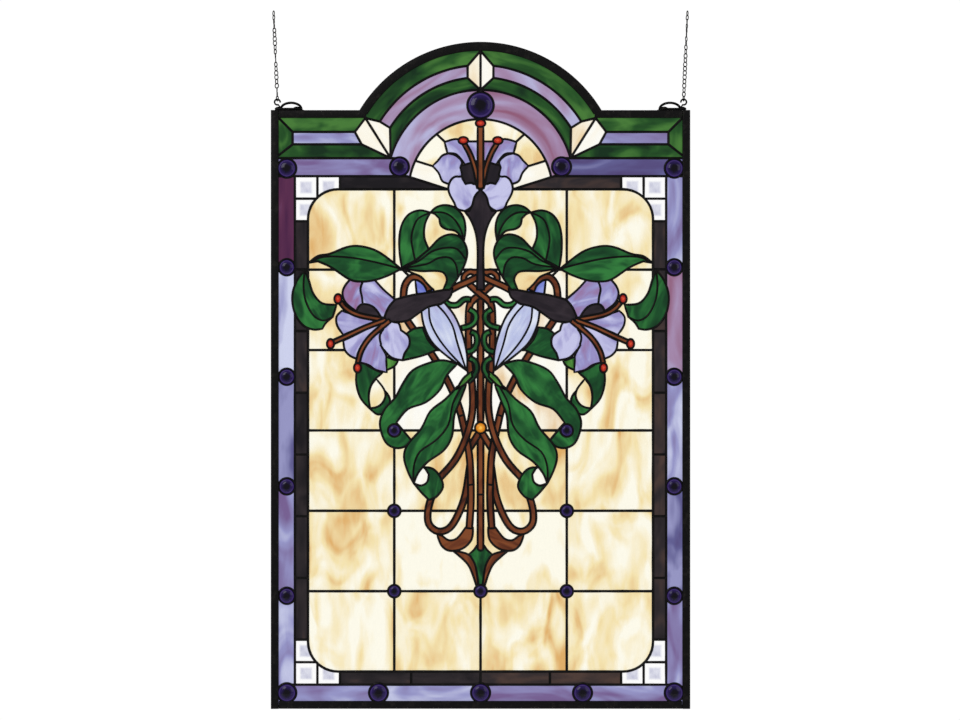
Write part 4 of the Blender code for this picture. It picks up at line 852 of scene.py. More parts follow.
def counter_clockwise(polygon):
    """The corners of a polygon in the order that the cutter wants."""
    turn = sum(a.cross(b) for a, b in zip(polygon, polygon[1:] + polygon[:1]))
    return polygon if turn > 0 else polygon[::-1]


def edge_sides(triangles):
    """The triangles on the two sides of each edge."""
    sides = {}
    for index, corners in enumerate(triangles):
        for i, corner in enumerate(corners):
            sides.setdefault(frozenset((corner, corners[i - 1])), []).append(index)
    return sides


def patches(count, sides, is_border):
    """Number the patches of triangles that no border edge separates."""
    neighbours = [[] for _ in range(count)]
    for edge, pair in sides.items():
        if len(pair) == 2 and not is_border(edge, pair):
            neighbours[pair[0]].append(pair[1])
            neighbours[pair[1]].append(pair[0])
    number = [-1] * count
    total = 0
    for start in range(count):
        if number[start] < 0:
            number[start] = total
            queue = [start]
            while queue:
                for other in neighbours[queue.pop()]:
                    if number[other] < 0:
                        number[other] = total
                        queue.append(other)
            total += 1
    return number, total


def absorb_slivers(shared, area):
    """The tile that each tile belongs to once slivers are joined to the tile beside them."""
    home = list(range(len(area)))
    rims = [0.0] * len(area)
    beside = {}
    for (a, b), length in shared.items():
        for one, other in ((a, b), (b, a)):
            rims[one] += length
            beside.setdefault(one, {})[other] = length

    def head(t):
        while home[t] != t:
            t = home[t]
        return t

    for t in sorted(range(len(area)), key=area.__getitem__):
        if area[t] < SLIVER_AREA or 2 * area[t] < SLIVER_WIDTH * rims[t]:
            options = {}
            for other, length in beside.get(t, {}).items():
                if head(other) != t:
                    options[head(other)] = options.get(head(other), 0) + length
            if options:
                home[t] = max(options, key=options.get)
    return [head(t) for t in range(len(area))]


def chain_edges(kinds):
    """Join edges of one kind into long lines that end where lines meet or the kind changes."""
    at = {}
    for edge in kinds:
        for i in edge:
            at.setdefault(i, []).append(edge)
    ends = {i for i, found in at.items() if len(found) != 2 or kinds[found[0]] != kinds[found[1]]}
    left = set(kinds)
    lines = []
    for start in sorted(ends) + sorted(at):
        for first in at[start]:
            path, step = [start], first
            while step in left:
                left.discard(step)
                path.append(next(i for i in step if i != path[-1]))
                if path[-1] not in ends:
                    step = next((e for e in at[path[-1]] if e in left), None)
            if len(path) > 1:
                lines.append((kinds[first], path))
    knots = sorted(i for i in ends if len(at[i]) > 2)
    return lines, knots


def straighten(line, tolerance):
    """Leave out points that lie within the tolerance of a straight run."""
    if len(line) < 3:
        return line
    first, last = line[0], line[-1]
    run = last - first
    if run.length < WELD:
        gaps = [(p - first).length for p in line]
    else:
        gaps = [abs((p - first).cross(run)) / run.length for p in line]
    worst = max(range(len(line)), key=gaps.__getitem__)
    if gaps[worst] < tolerance:
        return [first, last]
    return straighten(line[:worst + 1], tolerance)[:-1] + straighten(line[worst:], tolerance)


def divided(line, longest):
    """Points along a line, none further from the next than the longest step."""
    found = [line[0]]
    for start, end in zip(line, line[1:]):
        count = max(1, ceil((end - start).length / longest))
        found += [start.lerp(end, (i + 1) / count) for i in range(count)]
    return found


@cache
def cut_window():
    """Cut the drawing into tiles and seams.

    Gives the points, the style and triangles of each tile, the seams as (kind, line) and the
    points where seams meet.
    """
    cartoon = Cartoon()
    for draw in (draw_arch, draw_shoulders, draw_sides, draw_field, draw_stems, draw_buds,
                 draw_lower_leaves, draw_side_lilies, draw_upper_leaves, draw_top_lily, draw_jewels):
        draw(cartoon)
    points, edges, edge_ranks, faces = [], [], [], []
    for ranks, line in cartoon.ribs:
        first = len(points)
        points += line
        for i in range(first, len(points) - 1):
            edges.append((i, i + 1))
            edge_ranks.append(ranks)
    for _, polygon in cartoon.polygons:
        faces.append(list(range(len(points), len(points) + len(polygon))))
        points += counter_clockwise(polygon)
    found = geometry.delaunay_2d_cdt(points, edges, faces, 1, WELD)
    points, new_edges, triangles, _, sources, covers = found
    top = [max((cartoon.polygons[i][0] for i in cover), default=-1) for cover in covers]
    scored = {}
    for edge, source in zip(new_edges, sources):
        for i in source:
            if i < len(edges):
                scored.setdefault(frozenset(edge), set()).update(edge_ranks[i])
    sides = edge_sides(triangles)

    def is_border(edge, pair):
        one, other = top[pair[0]], top[pair[1]]
        return one != other or one in scored.get(edge, ())

    tile, total = patches(len(triangles), sides, is_border)
    area, rank = [0.0] * total, [-1] * total
    for index, corners in enumerate(triangles):
        area[tile[index]] += geometry.area_tri(*[points[i] for i in corners])
        rank[tile[index]] = top[index]
    shared = {}
    for edge, pair in sides.items():
        if len(pair) == 2 and tile[pair[0]] != tile[pair[1]]:
            key = tuple(sorted((tile[pair[0]], tile[pair[1]])))
            a, b = edge
            shared[key] = shared.get(key, 0) + (points[a] - points[b]).length
    home = absorb_slivers(shared, area)
    tiles = {}
    for index, corners in enumerate(triangles):
        tiles.setdefault(home[tile[index]], []).append(corners)
    kinds = {}
    for edge, pair in sides.items():
        beside = sorted({home[tile[i]] for i in pair})
        if len(beside) > 1:
            ranks = [rank[t] for t in beside]
            region = cartoon.styles[max(ranks)][0]
            kinds[edge] = (seam_group(region), ranks[0] == ranks[1])
    lines, knots = chain_edges(kinds)
    seams = [(kind, straighten([points[i] for i in path], STRAIGHTEN)) for kind, path in lines]
    found = [(cartoon.styles[rank[t]], triangles_of) for t, triangles_of in sorted(tiles.items())]
    return points, found, seams, [points[i] for i in knots]


def seam_group(region):
    """The net that a seam beside a region belongs to."""
    if region.startswith("field"):
        return "field"
    if region.startswith(("stems", "bud", "lower", "upper", "side_lily", "top_lily")):
        return "figures"
    return "border"


# From lines to pieces

def add_piece(name, mesh, finish, nodes=()):
    """Put a mesh into the scene as a piece that rides on the window."""
    for polygon in mesh.polygons:
        polygon.use_smooth = True
    mesh.set_sharp_from_angle(angle=SHARP_ANGLE)
    piece = bpy.data.objects.new(name, mesh)
    bpy.context.scene.collection.objects.link(piece)
    mesh.materials.clear()
    mesh.materials.append(finish)
    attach(piece, "root")
    if nodes:
        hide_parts(*nodes)
    return piece


def finish_mesh(bm, name):
    """Close a mesh under construction, its faces pointing out, and move it to where it hangs."""
    bmesh.ops.recalc_face_normals(bm, faces=bm.faces[:])
    bmesh.ops.translate(bm, verts=bm.verts[:], vec=(0, 0, -HANG_HEIGHT))
    mesh = bpy.data.meshes.new(name)
    bm.to_mesh(mesh)
    bm.free()
    return mesh


def principal_angle(spots):
    """The direction in which points spread the most."""
    centre = sum(spots, Vector((0, 0))) / len(spots)
    xx = sum((p.x - centre.x) ** 2 for p in spots)
    yy = sum((p.y - centre.y) ** 2 for p in spots)
    xy = sum((p.x - centre.x) * (p.y - centre.y) for p in spots)
    return atan2(2 * xy, xx - yy) / 2


def grain_of(flow, number, spots):
    """How a tile's points turn into coordinates whose second one runs along its streaks."""
    low = Vector((min(p.x for p in spots), min(p.y for p in spots)))
    high = Vector((max(p.x for p in spots), max(p.y for p in spots)))
    centre = (low + high) / 2
    shift = Vector([number * step % GRAIN_SPAN for step in GRAIN_STEPS])
    if flow == "centred":
        return lambda p: p - centre
    if flow == "round":
        radius = (centre - Vector((0, ARCH_CENTRE))).length

        def polar(p):
            ray = p - Vector((0, ARCH_CENTRE))
            return Vector((ray.length, atan2(ray.y, ray.x) * radius)) + shift
        return polar
    lean = {"up": pi / 2, "side": 0.0}.get(flow, principal_angle(spots))
    turn = Matrix.Rotation(pi / 2 - lean, 2)
    return lambda p: turn @ (p - centre) + shift


def add_tile(bm, points, triangles, sizes, style, number):
    """One piece of sheet glass, a little smaller than its place between the seams."""
    _, glass, flow, shade = style
    half = sizes.glass_thickness / 2
    verts = {}
    for corners in triangles:
        for i in corners:
            if i not in verts:
                verts[i] = bm.verts.new((points[i].x, -half, points[i].y))
    faces = [bm.faces.new([verts[i] for i in corners]) for corners in triangles]
    rim = bmesh.ops.inset_region(bm, faces=faces, thickness=sizes.tile_gap, use_boundary=True,
                                 use_even_offset=True)["faces"]
    bmesh.ops.delete(bm, geom=rim, context="FACES")
    found = bmesh.ops.extrude_face_region(bm, geom=faces)["geom"]
    moved = [item for item in found if isinstance(item, bmesh.types.BMVert)]
    bmesh.ops.translate(bm, verts=moved, vec=(0, 2 * half, 0))
    grain = grain_of(flow, number, [points[i] for i in verts])
    reach = SHADE_JITTER.get(glass, PLAIN_JITTER)
    jitter = random.Random(number).uniform(-reach, reach)
    uv = bm.loops.layers.uv["grain"]
    tint = bm.faces.layers.float["shade"]
    solid = {face for vert in moved for face in vert.link_faces} | set(faces)
    for face in solid:
        face[tint] = shade + jitter
        for loop in face.loops:
            loop[uv].uv = grain(Vector((loop.vert.co.x, loop.vert.co.z)))


def rods(name, lines, radius, resolution, weld):
    """A mesh under construction, of rods along lines of (x, y, z, share of the radius)."""
    curve = bpy.data.curves.new(name, "CURVE")
    curve.dimensions = "3D"
    curve.bevel_depth = radius
    curve.bevel_resolution = resolution
    curve.use_fill_caps = True
    for line, closed in lines:
        spline = curve.splines.new("POLY")
        spline.points.add(len(line) - 1)
        spline.use_cyclic_u = closed
        for point, (x, y, z, share) in zip(spline.points, line):
            point.co = (x, y, z, 1)
            point.radius = share
    carrier = bpy.data.objects.new(name, curve)
    bpy.context.scene.collection.objects.link(carrier)
    graph = bpy.context.evaluated_depsgraph_get()
    mesh = bpy.data.meshes.new_from_object(carrier.evaluated_get(graph))
    bpy.data.objects.remove(carrier)
    bm = bmesh.new()
    bm.from_mesh(mesh)
    bmesh.ops.remove_doubles(bm, verts=bm.verts[:], dist=weld)
    return bm


def bead_mesh(name, seams, knots, depth):
    """Rounded seams along lines, with a blob of solder where they meet."""
    lines = []
    for line, width in seams:
        closed = (line[0] - line[-1]).length < WELD
        spots = divided(line, RUN_LENGTH)[:-1 if closed else None]
        lines.append(([(p.x, 0, p.y, width / 2 * (1 + BEAD_WOBBLE * noise.noise(
            Vector((p.x, p.y, 0)) * BEAD_WAVES))) for p in spots], closed))
    bm = rods(name, lines, radius=1.0, resolution=2, weld=WELD / 4)
    for spot, width in knots:
        swell = KNOT_SWELL + BEAD_WOBBLE * noise.noise(Vector((spot.x, spot.y, 1)) * KNOT_WAVES)
        bmesh.ops.create_icosphere(bm, subdivisions=2, radius=width / 2 * swell,
                                   matrix=Matrix.Translation((spot.x, 0, spot.y)))
    flatten = depth / max(width for _, width in seams)
    bmesh.ops.scale(bm, vec=(1, flatten, 1), verts=bm.verts[:])
    return finish_mesh(bm, name)


def spin_jewel(bm, centre, radius, stretch, rise, half):
    """A cast jewel: a dome with a grooved rim on the front, and a flat back."""
    front = half + JEWEL_FOOT
    profile = [(share * radius, -front - height * rise) for share, height in JEWEL_CROWN]
    profile += [(radius, half), (0.0, half)]
    verts = [bm.verts.new((x, y, 0)) for x, y in profile]
    edges = [bm.edges.new(pair) for pair in zip(verts, verts[1:])]
    found = bmesh.ops.spin(bm, geom=verts + edges, cent=(0, 0, 0), axis=(0, 1, 0), angle=2 * pi,
                           steps=SPUN_SIDES, use_merge=True)
    spun = set(verts) | {vert for item in found["geom_last"]
                         for vert in (item.verts if hasattr(item, "verts") else [item])}
    queue = list(spun)
    while queue:
        for edge in queue.pop().link_edges:
            for vert in edge.verts:
                if vert not in spun:
                    spun.add(vert)
                    queue.append(vert)
    merged = bmesh.ops.find_doubles(bm, verts=list(spun), dist=WELD)["targetmap"]
    bmesh.ops.weld_verts(bm, targetmap=merged)
    spun = [vert for vert in spun if vert.is_valid]
    uv = bm.loops.layers.uv["grain"]
    for face in {face for vert in spun for face in vert.link_faces}:
        for loop in face.loops:
            loop[uv].uv = (loop.vert.co.x / radius, loop.vert.co.z / radius)
    bmesh.ops.scale(bm, vec=(1, 1, stretch), verts=spun)
    bmesh.ops.translate(bm, vec=(centre[0], 0, centre[1]), verts=spun)


def channel(face, half):
    """The U profile of a came, as (distance in from the frame's edge, depth), open inwards."""
    groove = bpy.context.scene.window_sizes.glass_thickness / 2 + CLEARANCE
    floor = face - GLASS_BITE - EDGE_ROOM
    return [(0, -half), (face, -half), (face, -groove), (floor, -groove), (floor, groove),
            (face, groove), (face, half), (0, half)]


def came_profile(bm, face, half, rounding, at):
    """The came's profile as one face, with its outer corners rounded."""
    verts = [bm.verts.new(at(d, y)) for d, y in channel(face, half)]
    bm.faces.new(verts)
    corners = [vert for vert, (_, y) in zip(verts, channel(face, half)) if abs(y) == half]
    bmesh.ops.bevel(bm, geom=corners, offset=rounding, offset_type="OFFSET", segments=4, profile=0.5,
                    affect="VERTICES", material=-1)
    return next(iter(bm.faces))


# Materials

def add_node(tree, kind, inputs=(), **settings):
    """Add a node, set its settings, and link or set its inputs."""
    node = tree.nodes.new(kind)
    for key, value in settings.items():
        setattr(node, key, value)
    for key, value in dict(inputs).items():
        if isinstance(value, bpy.types.NodeSocket):
            tree.links.new(value, node.inputs[key])
        else:
            node.inputs[key].default_value = value
    return node


def new_group(name, inputs, outputs):
    """A shader node group with its sockets, and its two end nodes."""
    tree = bpy.data.node_groups.new(name, "ShaderNodeTree")
    for label, kind in inputs:
        tree.interface.new_socket(name=label, in_out="INPUT", socket_type=kind)
    for label, kind in outputs:
        tree.interface.new_socket(name=label, in_out="OUTPUT", socket_type=kind)
    return tree, tree.nodes.new("NodeGroupInput").outputs, tree.nodes.new("NodeGroupOutput")


def maths(tree, operation, first, second, clamp=False):
    """A maths node's result."""
    return add_node(tree, "ShaderNodeMath", {0: first, 1: second}, operation=operation,
                    use_clamp=clamp).outputs[0]


def blend(tree, share, first, second):
    """A colour between two colours."""
    node = add_node(tree, "ShaderNodeMix", {"Factor": share}, data_type="RGBA")
    for socket, value in ((node.inputs[6], first), (node.inputs[7], second)):
        tree.links.new(value, socket)
    return node.outputs[2]


def streaky_group():
    """Opalescent glass: broad swirls and fine wisps of three tones along the grain."""
    found = bpy.data.node_groups.get("streaky_glass")
    if found:
        return found
    tree, given, end = new_group(
        "streaky_glass",
        [("Vector", "NodeSocketVector"), ("Shade", "NodeSocketFloat"), ("Pale", "NodeSocketColor"),
         ("Middle", "NodeSocketColor"), ("Deep", "NodeSocketColor"), ("Streaks", "NodeSocketFloat"),
         ("Stretch", "NodeSocketFloat"), ("Swirl", "NodeSocketFloat"), ("Spread", "NodeSocketFloat"),
         ("Wisps", "NodeSocketFloat")],
        [("Color", "NodeSocketColor"), ("Height", "NodeSocketFloat"), ("Roughness", "NodeSocketFloat")])
    along = maths(tree, "DIVIDE", given["Streaks"], given["Stretch"])
    scale = add_node(tree, "ShaderNodeCombineXYZ", {"X": given["Streaks"], "Y": along})
    flow = add_node(tree, "ShaderNodeVectorMath", {0: given["Vector"], 1: scale.outputs[0]},
                    operation="MULTIPLY").outputs[0]
    broad = add_node(tree, "ShaderNodeTexNoise",
                     {"Vector": flow, "Scale": 1.0, "Detail": 2.0, "Roughness": 0.4,
                      "Distortion": given["Swirl"]})
    fine = add_node(tree, "ShaderNodeVectorMath", {0: flow, 1: FINE_GRAIN},
                    operation="MULTIPLY").outputs[0]
    wisps = add_node(tree, "ShaderNodeTexNoise",
                     {"Vector": fine, "Scale": 1.0, "Detail": 3.0, "Roughness": 0.5, "Distortion": 0.5})
    swing = maths(tree, "MULTIPLY", maths(tree, "SUBTRACT", broad.outputs[0], 0.5), given["Spread"])
    flick = maths(tree, "MULTIPLY", maths(tree, "SUBTRACT", wisps.outputs[0], 0.5), given["Wisps"])
    level = maths(tree, "MULTIPLY", maths(tree, "ADD", swing, flick), NOISE_GAIN)
    level = maths(tree, "ADD", level, maths(tree, "MULTIPLY", given["Shade"], SHADE_GAIN))
    level = maths(tree, "ADD", level, LEVEL_START)
    first = maths(tree, "ADD", level, 0.0, clamp=True)
    second = maths(tree, "SUBTRACT", level, 1.0, clamp=True)
    colour = blend(tree, second, blend(tree, first, given["Pale"], given["Middle"]), given["Deep"])
    tree.links.new(colour, end.inputs["Color"])
    ripple = add_node(tree, "ShaderNodeTexNoise",
                      {"Vector": given["Vector"], "Scale": 110.0, "Detail": 2.0, "Distortion": 0.4})
    height = maths(tree, "ADD", ripple.outputs[0], maths(tree, "MULTIPLY", wisps.outputs[0], 0.35))
    tree.links.new(height, end.inputs["Height"])
    rough = maths(tree, "ADD", maths(tree, "MULTIPLY", wisps.outputs[0], 0.16), 0.06)
    tree.links.new(rough, end.inputs["Roughness"])
    return tree


def cast_group():
    """Cast glass of a jewel, with the light and shade of its dome painted in: a middle, a body and a ring
    near the rim in the rim tone, with faint seeds.
    """
    found = bpy.data.node_groups.get("cast_glass")
    if found:
        return found
    tree, given, end = new_group(
        "cast_glass",
        [("Vector", "NodeSocketVector"), ("Middle", "NodeSocketColor"), ("Body", "NodeSocketColor"),
         ("Rim", "NodeSocketColor"), ("Reach", "NodeSocketFloat")],
        [("Color", "NodeSocketColor"), ("Height", "NodeSocketFloat")])
    radius = add_node(tree, "ShaderNodeVectorMath", {0: given["Vector"]},
                      operation="LENGTH").outputs["Value"]
    seeds = add_node(tree, "ShaderNodeTexNoise", {"Vector": given["Vector"], "Scale": 2.6, "Detail": 3.0})
    wander = maths(tree, "MULTIPLY", maths(tree, "SUBTRACT", seeds.outputs[0], 0.5), 0.5)
    radius_here = maths(tree, "ADD", radius, wander)
    # The painted middle gives way to the body further out, along a wavering edge
    body = add_node(tree, "ShaderNodeMapRange",
                    {"Value": radius_here, "From Min": maths(tree, "SUBTRACT", given["Reach"], 0.35),
                     "From Max": maths(tree, "ADD", given["Reach"], 0.2)},
                    interpolation_type="SMOOTHSTEP")
    # A ring near the rim painted in the rim tone: a painted highlight on the violet jewel, painted shade on
    # the amber and red ones
    ring = add_node(tree, "ShaderNodeMapRange", {"Value": radius, "From Min": 0.80, "From Max": 0.86},
                    interpolation_type="SMOOTHSTEP")
    shade = add_node(tree, "ShaderNodeMapRange", {"Value": radius, "From Min": 0.90, "From Max": 0.97},
                     interpolation_type="SMOOTHSTEP")
    band = maths(tree, "SUBTRACT", ring.outputs[0], shade.outputs[0], clamp=True)
    band = maths(tree, "MULTIPLY", band, 0.5)
    colour = blend(tree, body.outputs[0], given["Middle"], given["Body"])
    tree.links.new(blend(tree, band, colour, given["Rim"]), end.inputs["Color"])
    tree.links.new(seeds.outputs[0], end.inputs["Height"])
    return tree


def patina_group():
    """Black patina on metal: mottled, with worn patches and tiny dents."""
    found = bpy.data.node_groups.get("black_patina")
    if found:
        return found
    tree, given, end = new_group(
        "black_patina",
        [("Vector", "NodeSocketVector"), ("Body", "NodeSocketColor"), ("Worn", "NodeSocketColor"),
         ("Roughness", "NodeSocketFloat"), ("Grain", "NodeSocketFloat")],
        [("Color", "NodeSocketColor"), ("Roughness", "NodeSocketFloat"), ("Height", "NodeSocketFloat")])
    mottle = add_node(tree, "ShaderNodeTexNoise",
                      {"Vector": given["Vector"], "Scale": given["Grain"], "Detail": 5.0,
                       "Roughness": 0.6})
    dents = add_node(tree, "ShaderNodeTexNoise",
                     {"Vector": given["Vector"], "Scale": maths(tree, "MULTIPLY", given["Grain"], 4.0),
                      "Detail": 3.0})
    worn = add_node(tree, "ShaderNodeMapRange",
                    {"Value": mottle.outputs[0], "From Min": 0.52, "From Max": 0.72})
    tree.links.new(blend(tree, worn.outputs[0], given["Body"], given["Worn"]), end.inputs["Color"])
    swing = maths(tree, "MULTIPLY", maths(tree, "SUBTRACT", dents.outputs[0], 0.5), 0.35)
    rough = maths(tree, "ADD", given["Roughness"], swing, clamp=True)
    tree.links.new(rough, end.inputs["Roughness"])
    tree.links.new(maths(tree, "ADD", dents.outputs[0], mottle.outputs[0]), end.inputs["Height"])
    return tree


def new_material(name):
    """A material with its shader."""
    made = bpy.data.materials.new(name)
    made.use_nodes = True
    return made, made.node_tree, made.node_tree.nodes["Principled BSDF"]


def tones_of(finish, labels):
    """The tones that the user has set for a finish, under the names of a node group's inputs."""
    colours = bpy.context.scene.window_colours
    return {label.capitalize(): (*getattr(colours, f"{finish}_{label}"), 1) for label in labels}


def coat(tree, shader, group, glow, bumps):
    """Feed a node group's colour, roughness and height to the shader, with light of its own."""
    tree.links.new(group.outputs["Color"], shader.inputs["Base Color"])
    if glow:
        tree.links.new(group.outputs["Color"], shader.inputs["Emission Color"])
        shader.inputs["Emission Strength"].default_value = glow
        shader.inputs["IOR"].default_value = GLASS_IOR
    if "Roughness" in group.outputs:
        tree.links.new(group.outputs["Roughness"], shader.inputs["Roughness"])
    strength, distance = bumps
    bump = add_node(tree, "ShaderNodeBump", {"Strength": strength, "Distance": distance,
                                             "Height": group.outputs["Height"]})
    tree.links.new(bump.outputs[0], shader.inputs["Normal"])


def sheet_material(glass):
    """The material of a sheet glass, made once."""
    name = glass + "_sheet"
    if name in bpy.data.materials:
        return bpy.data.materials[name]
    _, _, _, _, streaks, stretch, swirl, spread, wisps = GLASSES[glass]
    made, tree, shader = new_material(name)
    grain = add_node(tree, "ShaderNodeUVMap", uv_map="grain").outputs[0]
    shade = add_node(tree, "ShaderNodeAttribute", attribute_name="shade", attribute_type="GEOMETRY")
    group = add_node(tree, "ShaderNodeGroup", {
        "Vector": grain, "Shade": shade.outputs["Fac"], "Streaks": streaks, "Stretch": stretch,
        "Swirl": swirl, "Spread": spread, "Wisps": wisps, **tones_of(glass, GLASS_TONES)},
        node_tree=streaky_group())
    # The sheet glass glows with a painted light of its own
    coat(tree, shader, group, SHEET_GLOW, SHEET_BUMPS)
    # A bevelled tile gets a painted white highlight round its patch, in its colour and in its glow
    if glass == "bevelled":
        colour = bevelled_patch_and_highlight(tree, grain, group.outputs["Color"])
        tree.links.new(colour, shader.inputs["Base Color"])
        tree.links.new(colour, shader.inputs["Emission Color"])
    return made


def bevelled_patch_and_highlight(tree, grain, colour):
    """A grey-lavender patch in the middle of a clear bevelled tile, with a painted white highlight on its
    bevelled rim.
    """
    parts = add_node(tree, "ShaderNodeSeparateXYZ", {0: add_node(
        tree, "ShaderNodeVectorMath", {0: grain}, operation="ABSOLUTE").outputs[0]})
    reach = maths(tree, "MAXIMUM", parts.outputs[0], parts.outputs[1])
    rim = add_node(tree, "ShaderNodeMapRange",
                   {"Value": reach, "From Min": PATCH_INNER, "From Max": PATCH_OUTER},
                   interpolation_type="SMOOTHSTEP").outputs[0]
    # The painted white highlight on the bevel
    white = add_node(tree, "ShaderNodeRGB")
    white.outputs[0].default_value = (1, 1, 1, 1)
    return blend(tree, rim, colour, white.outputs[0])


def cast_material(cast):
    """The material of a cast jewel, made once."""
    if cast in bpy.data.materials:
        return bpy.data.materials[cast]
    made, tree, shader = new_material(cast)
    grain = add_node(tree, "ShaderNodeUVMap", uv_map="grain").outputs[0]
    group = add_node(tree, "ShaderNodeGroup",
                     {"Vector": grain, "Reach": CASTS[cast][4], **tones_of(cast, CAST_TONES)},
                     node_tree=cast_group())
    # The jewel glows with a painted light of its own
    coat(tree, shader, group, CAST_GLOW, CAST_BUMPS)
    shader.inputs["Roughness"].default_value = CAST_ROUGHNESS
    return made


def metal_material(metal):
    """The material of a metal under black patina, made once."""
    if metal in bpy.data.materials:
        return bpy.data.materials[metal]
    made, tree, shader = new_material(metal)
    spot = add_node(tree, "ShaderNodeTexCoord").outputs["Object"]
    _, _, _, roughness, metallic = METALS[metal]
    group = add_node(tree, "ShaderNodeGroup",
                     {"Vector": spot, "Roughness": roughness, "Grain": PATINA_GRAIN,
                      **tones_of(metal, METAL_TONES)}, node_tree=patina_group())
    coat(tree, shader, group, 0, METAL_BUMPS)
    shader.inputs["Metallic"].default_value = metallic
    return made


# Pieces

class STAINED_GLASS_OT_glass(bpy.types.Operator):
    """Make every piece of sheet glass, in pieces of one region and one glass."""
    bl_idname = "stained_glass.glass"
    bl_label = "Glass"

    def execute(self, context):
        points, tiles, _, _ = cut_window()
        sizes = context.scene.window_sizes
        sheets = {}
        for number, (style, triangles) in enumerate(tiles):
            if style[1]:
                sheets.setdefault(style[:2], []).append((number, style, triangles))
        for (region, glass), members in sorted(sheets.items()):
            bm = bmesh.new()
            bm.loops.layers.uv.new("grain")
            bm.faces.layers.float.new("shade")
            for number, style, triangles in members:
                add_tile(bm, points, triangles, sizes, style, number)
            name = f"{region}_{glass}"
            add_piece(name, finish_mesh(bm, name), sheet_material(glass),
                      ["glass_" + region])
        return {"FINISHED"}


class STAINED_GLASS_OT_seams(bpy.types.Operator):
    """Solder the seams: one net for the border, one for the field's grid and one for the figures."""
    bl_idname = "stained_glass.seams"
    bl_label = "Seams"

    def execute(self, context):
        _, _, seams, knots = cut_window()
        sizes = context.scene.window_sizes
        nets = {}
        for (net, is_rib), line in seams:
            width = sizes.grid_width if net == "field" else sizes.seam_width
            if net == "figures":
                width = sizes.rib_width if is_rib else sizes.figure_width
            nets.setdefault(net, []).append((line, width))
        for net, found in sorted(nets.items()):
            blobs = []
            if net == "figures":
                blobs = [(spot, sizes.rib_width) for spot in knots]
            mesh = bead_mesh("seams_" + net, found, blobs, sizes.seam_depth)
            add_piece("seams_" + net, mesh, metal_material("solder_patina"), ["seams"])
        return {"FINISHED"}


class STAINED_GLASS_OT_jewels(bpy.types.Operator):
    """Set the cast jewels of the border, the grid's small ones and the stamens' tips."""
    bl_idname = "stained_glass.jewels"
    bl_label = "Jewels"

    def execute(self, context):
        sizes = context.scene.window_sizes
        half = sizes.glass_thickness / 2
        for name, centre, radius in all_seats():
            bm = bmesh.new()
            bm.loops.layers.uv.new("grain")
            spin_jewel(bm, centre, radius - sizes.seam_width / 4, 1.0, sizes.jewel_rise, half)
            add_piece(name + "_cast", finish_mesh(bm, name), cast_material("violet_cast"),
                      [name])
        groups = {}
        for seat in small_seats():
            groups.setdefault(seat[0], []).append(seat)
        for cast, seats in groups.items():
            bm = bmesh.new()
            bm.loops.layers.uv.new("grain")
            for _, centre, radius, stretch in seats:
                spin_jewel(bm, centre, radius - sizes.seam_width / 4, stretch, sizes.small_rise, half)
            add_piece("small_" + cast, finish_mesh(bm, cast), cast_material(cast))
        return {"FINISHED"}


class STAINED_GLASS_OT_frame(bpy.types.Operator):
    """Make the came frame: two sides, a bottom, two shoulders and the arch."""
    bl_idname = "stained_glass.frame"
    bl_label = "Frame"

    def execute(self, context):
        sizes = context.scene.window_sizes
        half, rounding = sizes.came_depth / 2, sizes.came_round
        inner = GLASS_SIDE - CLEARANCE
        reach = sqrt(GLASS_ARCH ** 2 - (GLASS_SHOULDER - ARCH_CENTRE) ** 2)
        bars = [("came_bottom", (-inner, 0), (inner, 0), (0, 1))]
        for side, name in ((-1, "left"), (1, "right")):
            bars.append(("came_side_" + name, (side * HALF_WIDTH, 0),
                         (side * HALF_WIDTH, SHOULDER_HEIGHT), (-side, 0)))
            bars.append(("came_shoulder_" + name, (side * inner, SHOULDER_HEIGHT),
                         (side * reach, SHOULDER_HEIGHT), (0, -1)))
        for name, start, end, inward in bars:
            bm = bmesh.new()
            profile = came_profile(bm, CAME_FACE, half, rounding,
                                   lambda d, y: (start[0] + inward[0] * d, y, start[1] + inward[1] * d))
            found = bmesh.ops.extrude_face_region(bm, geom=[profile])["geom"]
            moved = [item for item in found if isinstance(item, bmesh.types.BMVert)]
            bmesh.ops.translate(bm, verts=moved, vec=(end[0] - start[0], 0, end[1] - start[1]))
            add_piece(name + "_bar", finish_mesh(bm, name), metal_material("came_patina"), [name])
        foot = GLASS_SHOULDER + GLASS_BITE
        turn = asin((GLASS_SHOULDER - ARCH_CENTRE) / ARCH_RADIUS)
        bm = bmesh.new()
        profile = came_profile(bm, ARCH_CAME_FACE, half + CLEARANCE / 2, rounding,
                               lambda d, y: ((ARCH_RADIUS - d) * cos(turn), y,
                                             ARCH_CENTRE + (ARCH_RADIUS - d) * sin(turn)))
        bmesh.ops.spin(bm, geom=[profile], cent=(0, 0, ARCH_CENTRE), axis=(0, -1, 0), angle=pi - 2 * turn,
                       steps=ARCH_STEPS)
        bmesh.ops.remove_doubles(bm, verts=bm.verts[:], dist=WELD)
        bmesh.ops.bisect_plane(bm, geom=bm.verts[:] + bm.edges[:] + bm.faces[:], plane_co=(0, 0, foot),
                               plane_no=(0, 0, 1), clear_inner=True)
        bmesh.ops.holes_fill(bm, edges=[edge for edge in bm.edges if edge.is_boundary])
        add_piece("came_arch_bar", finish_mesh(bm, "came_arch"), metal_material("came_patina"),
                  ["came_arch"])
        return {"FINISHED"}


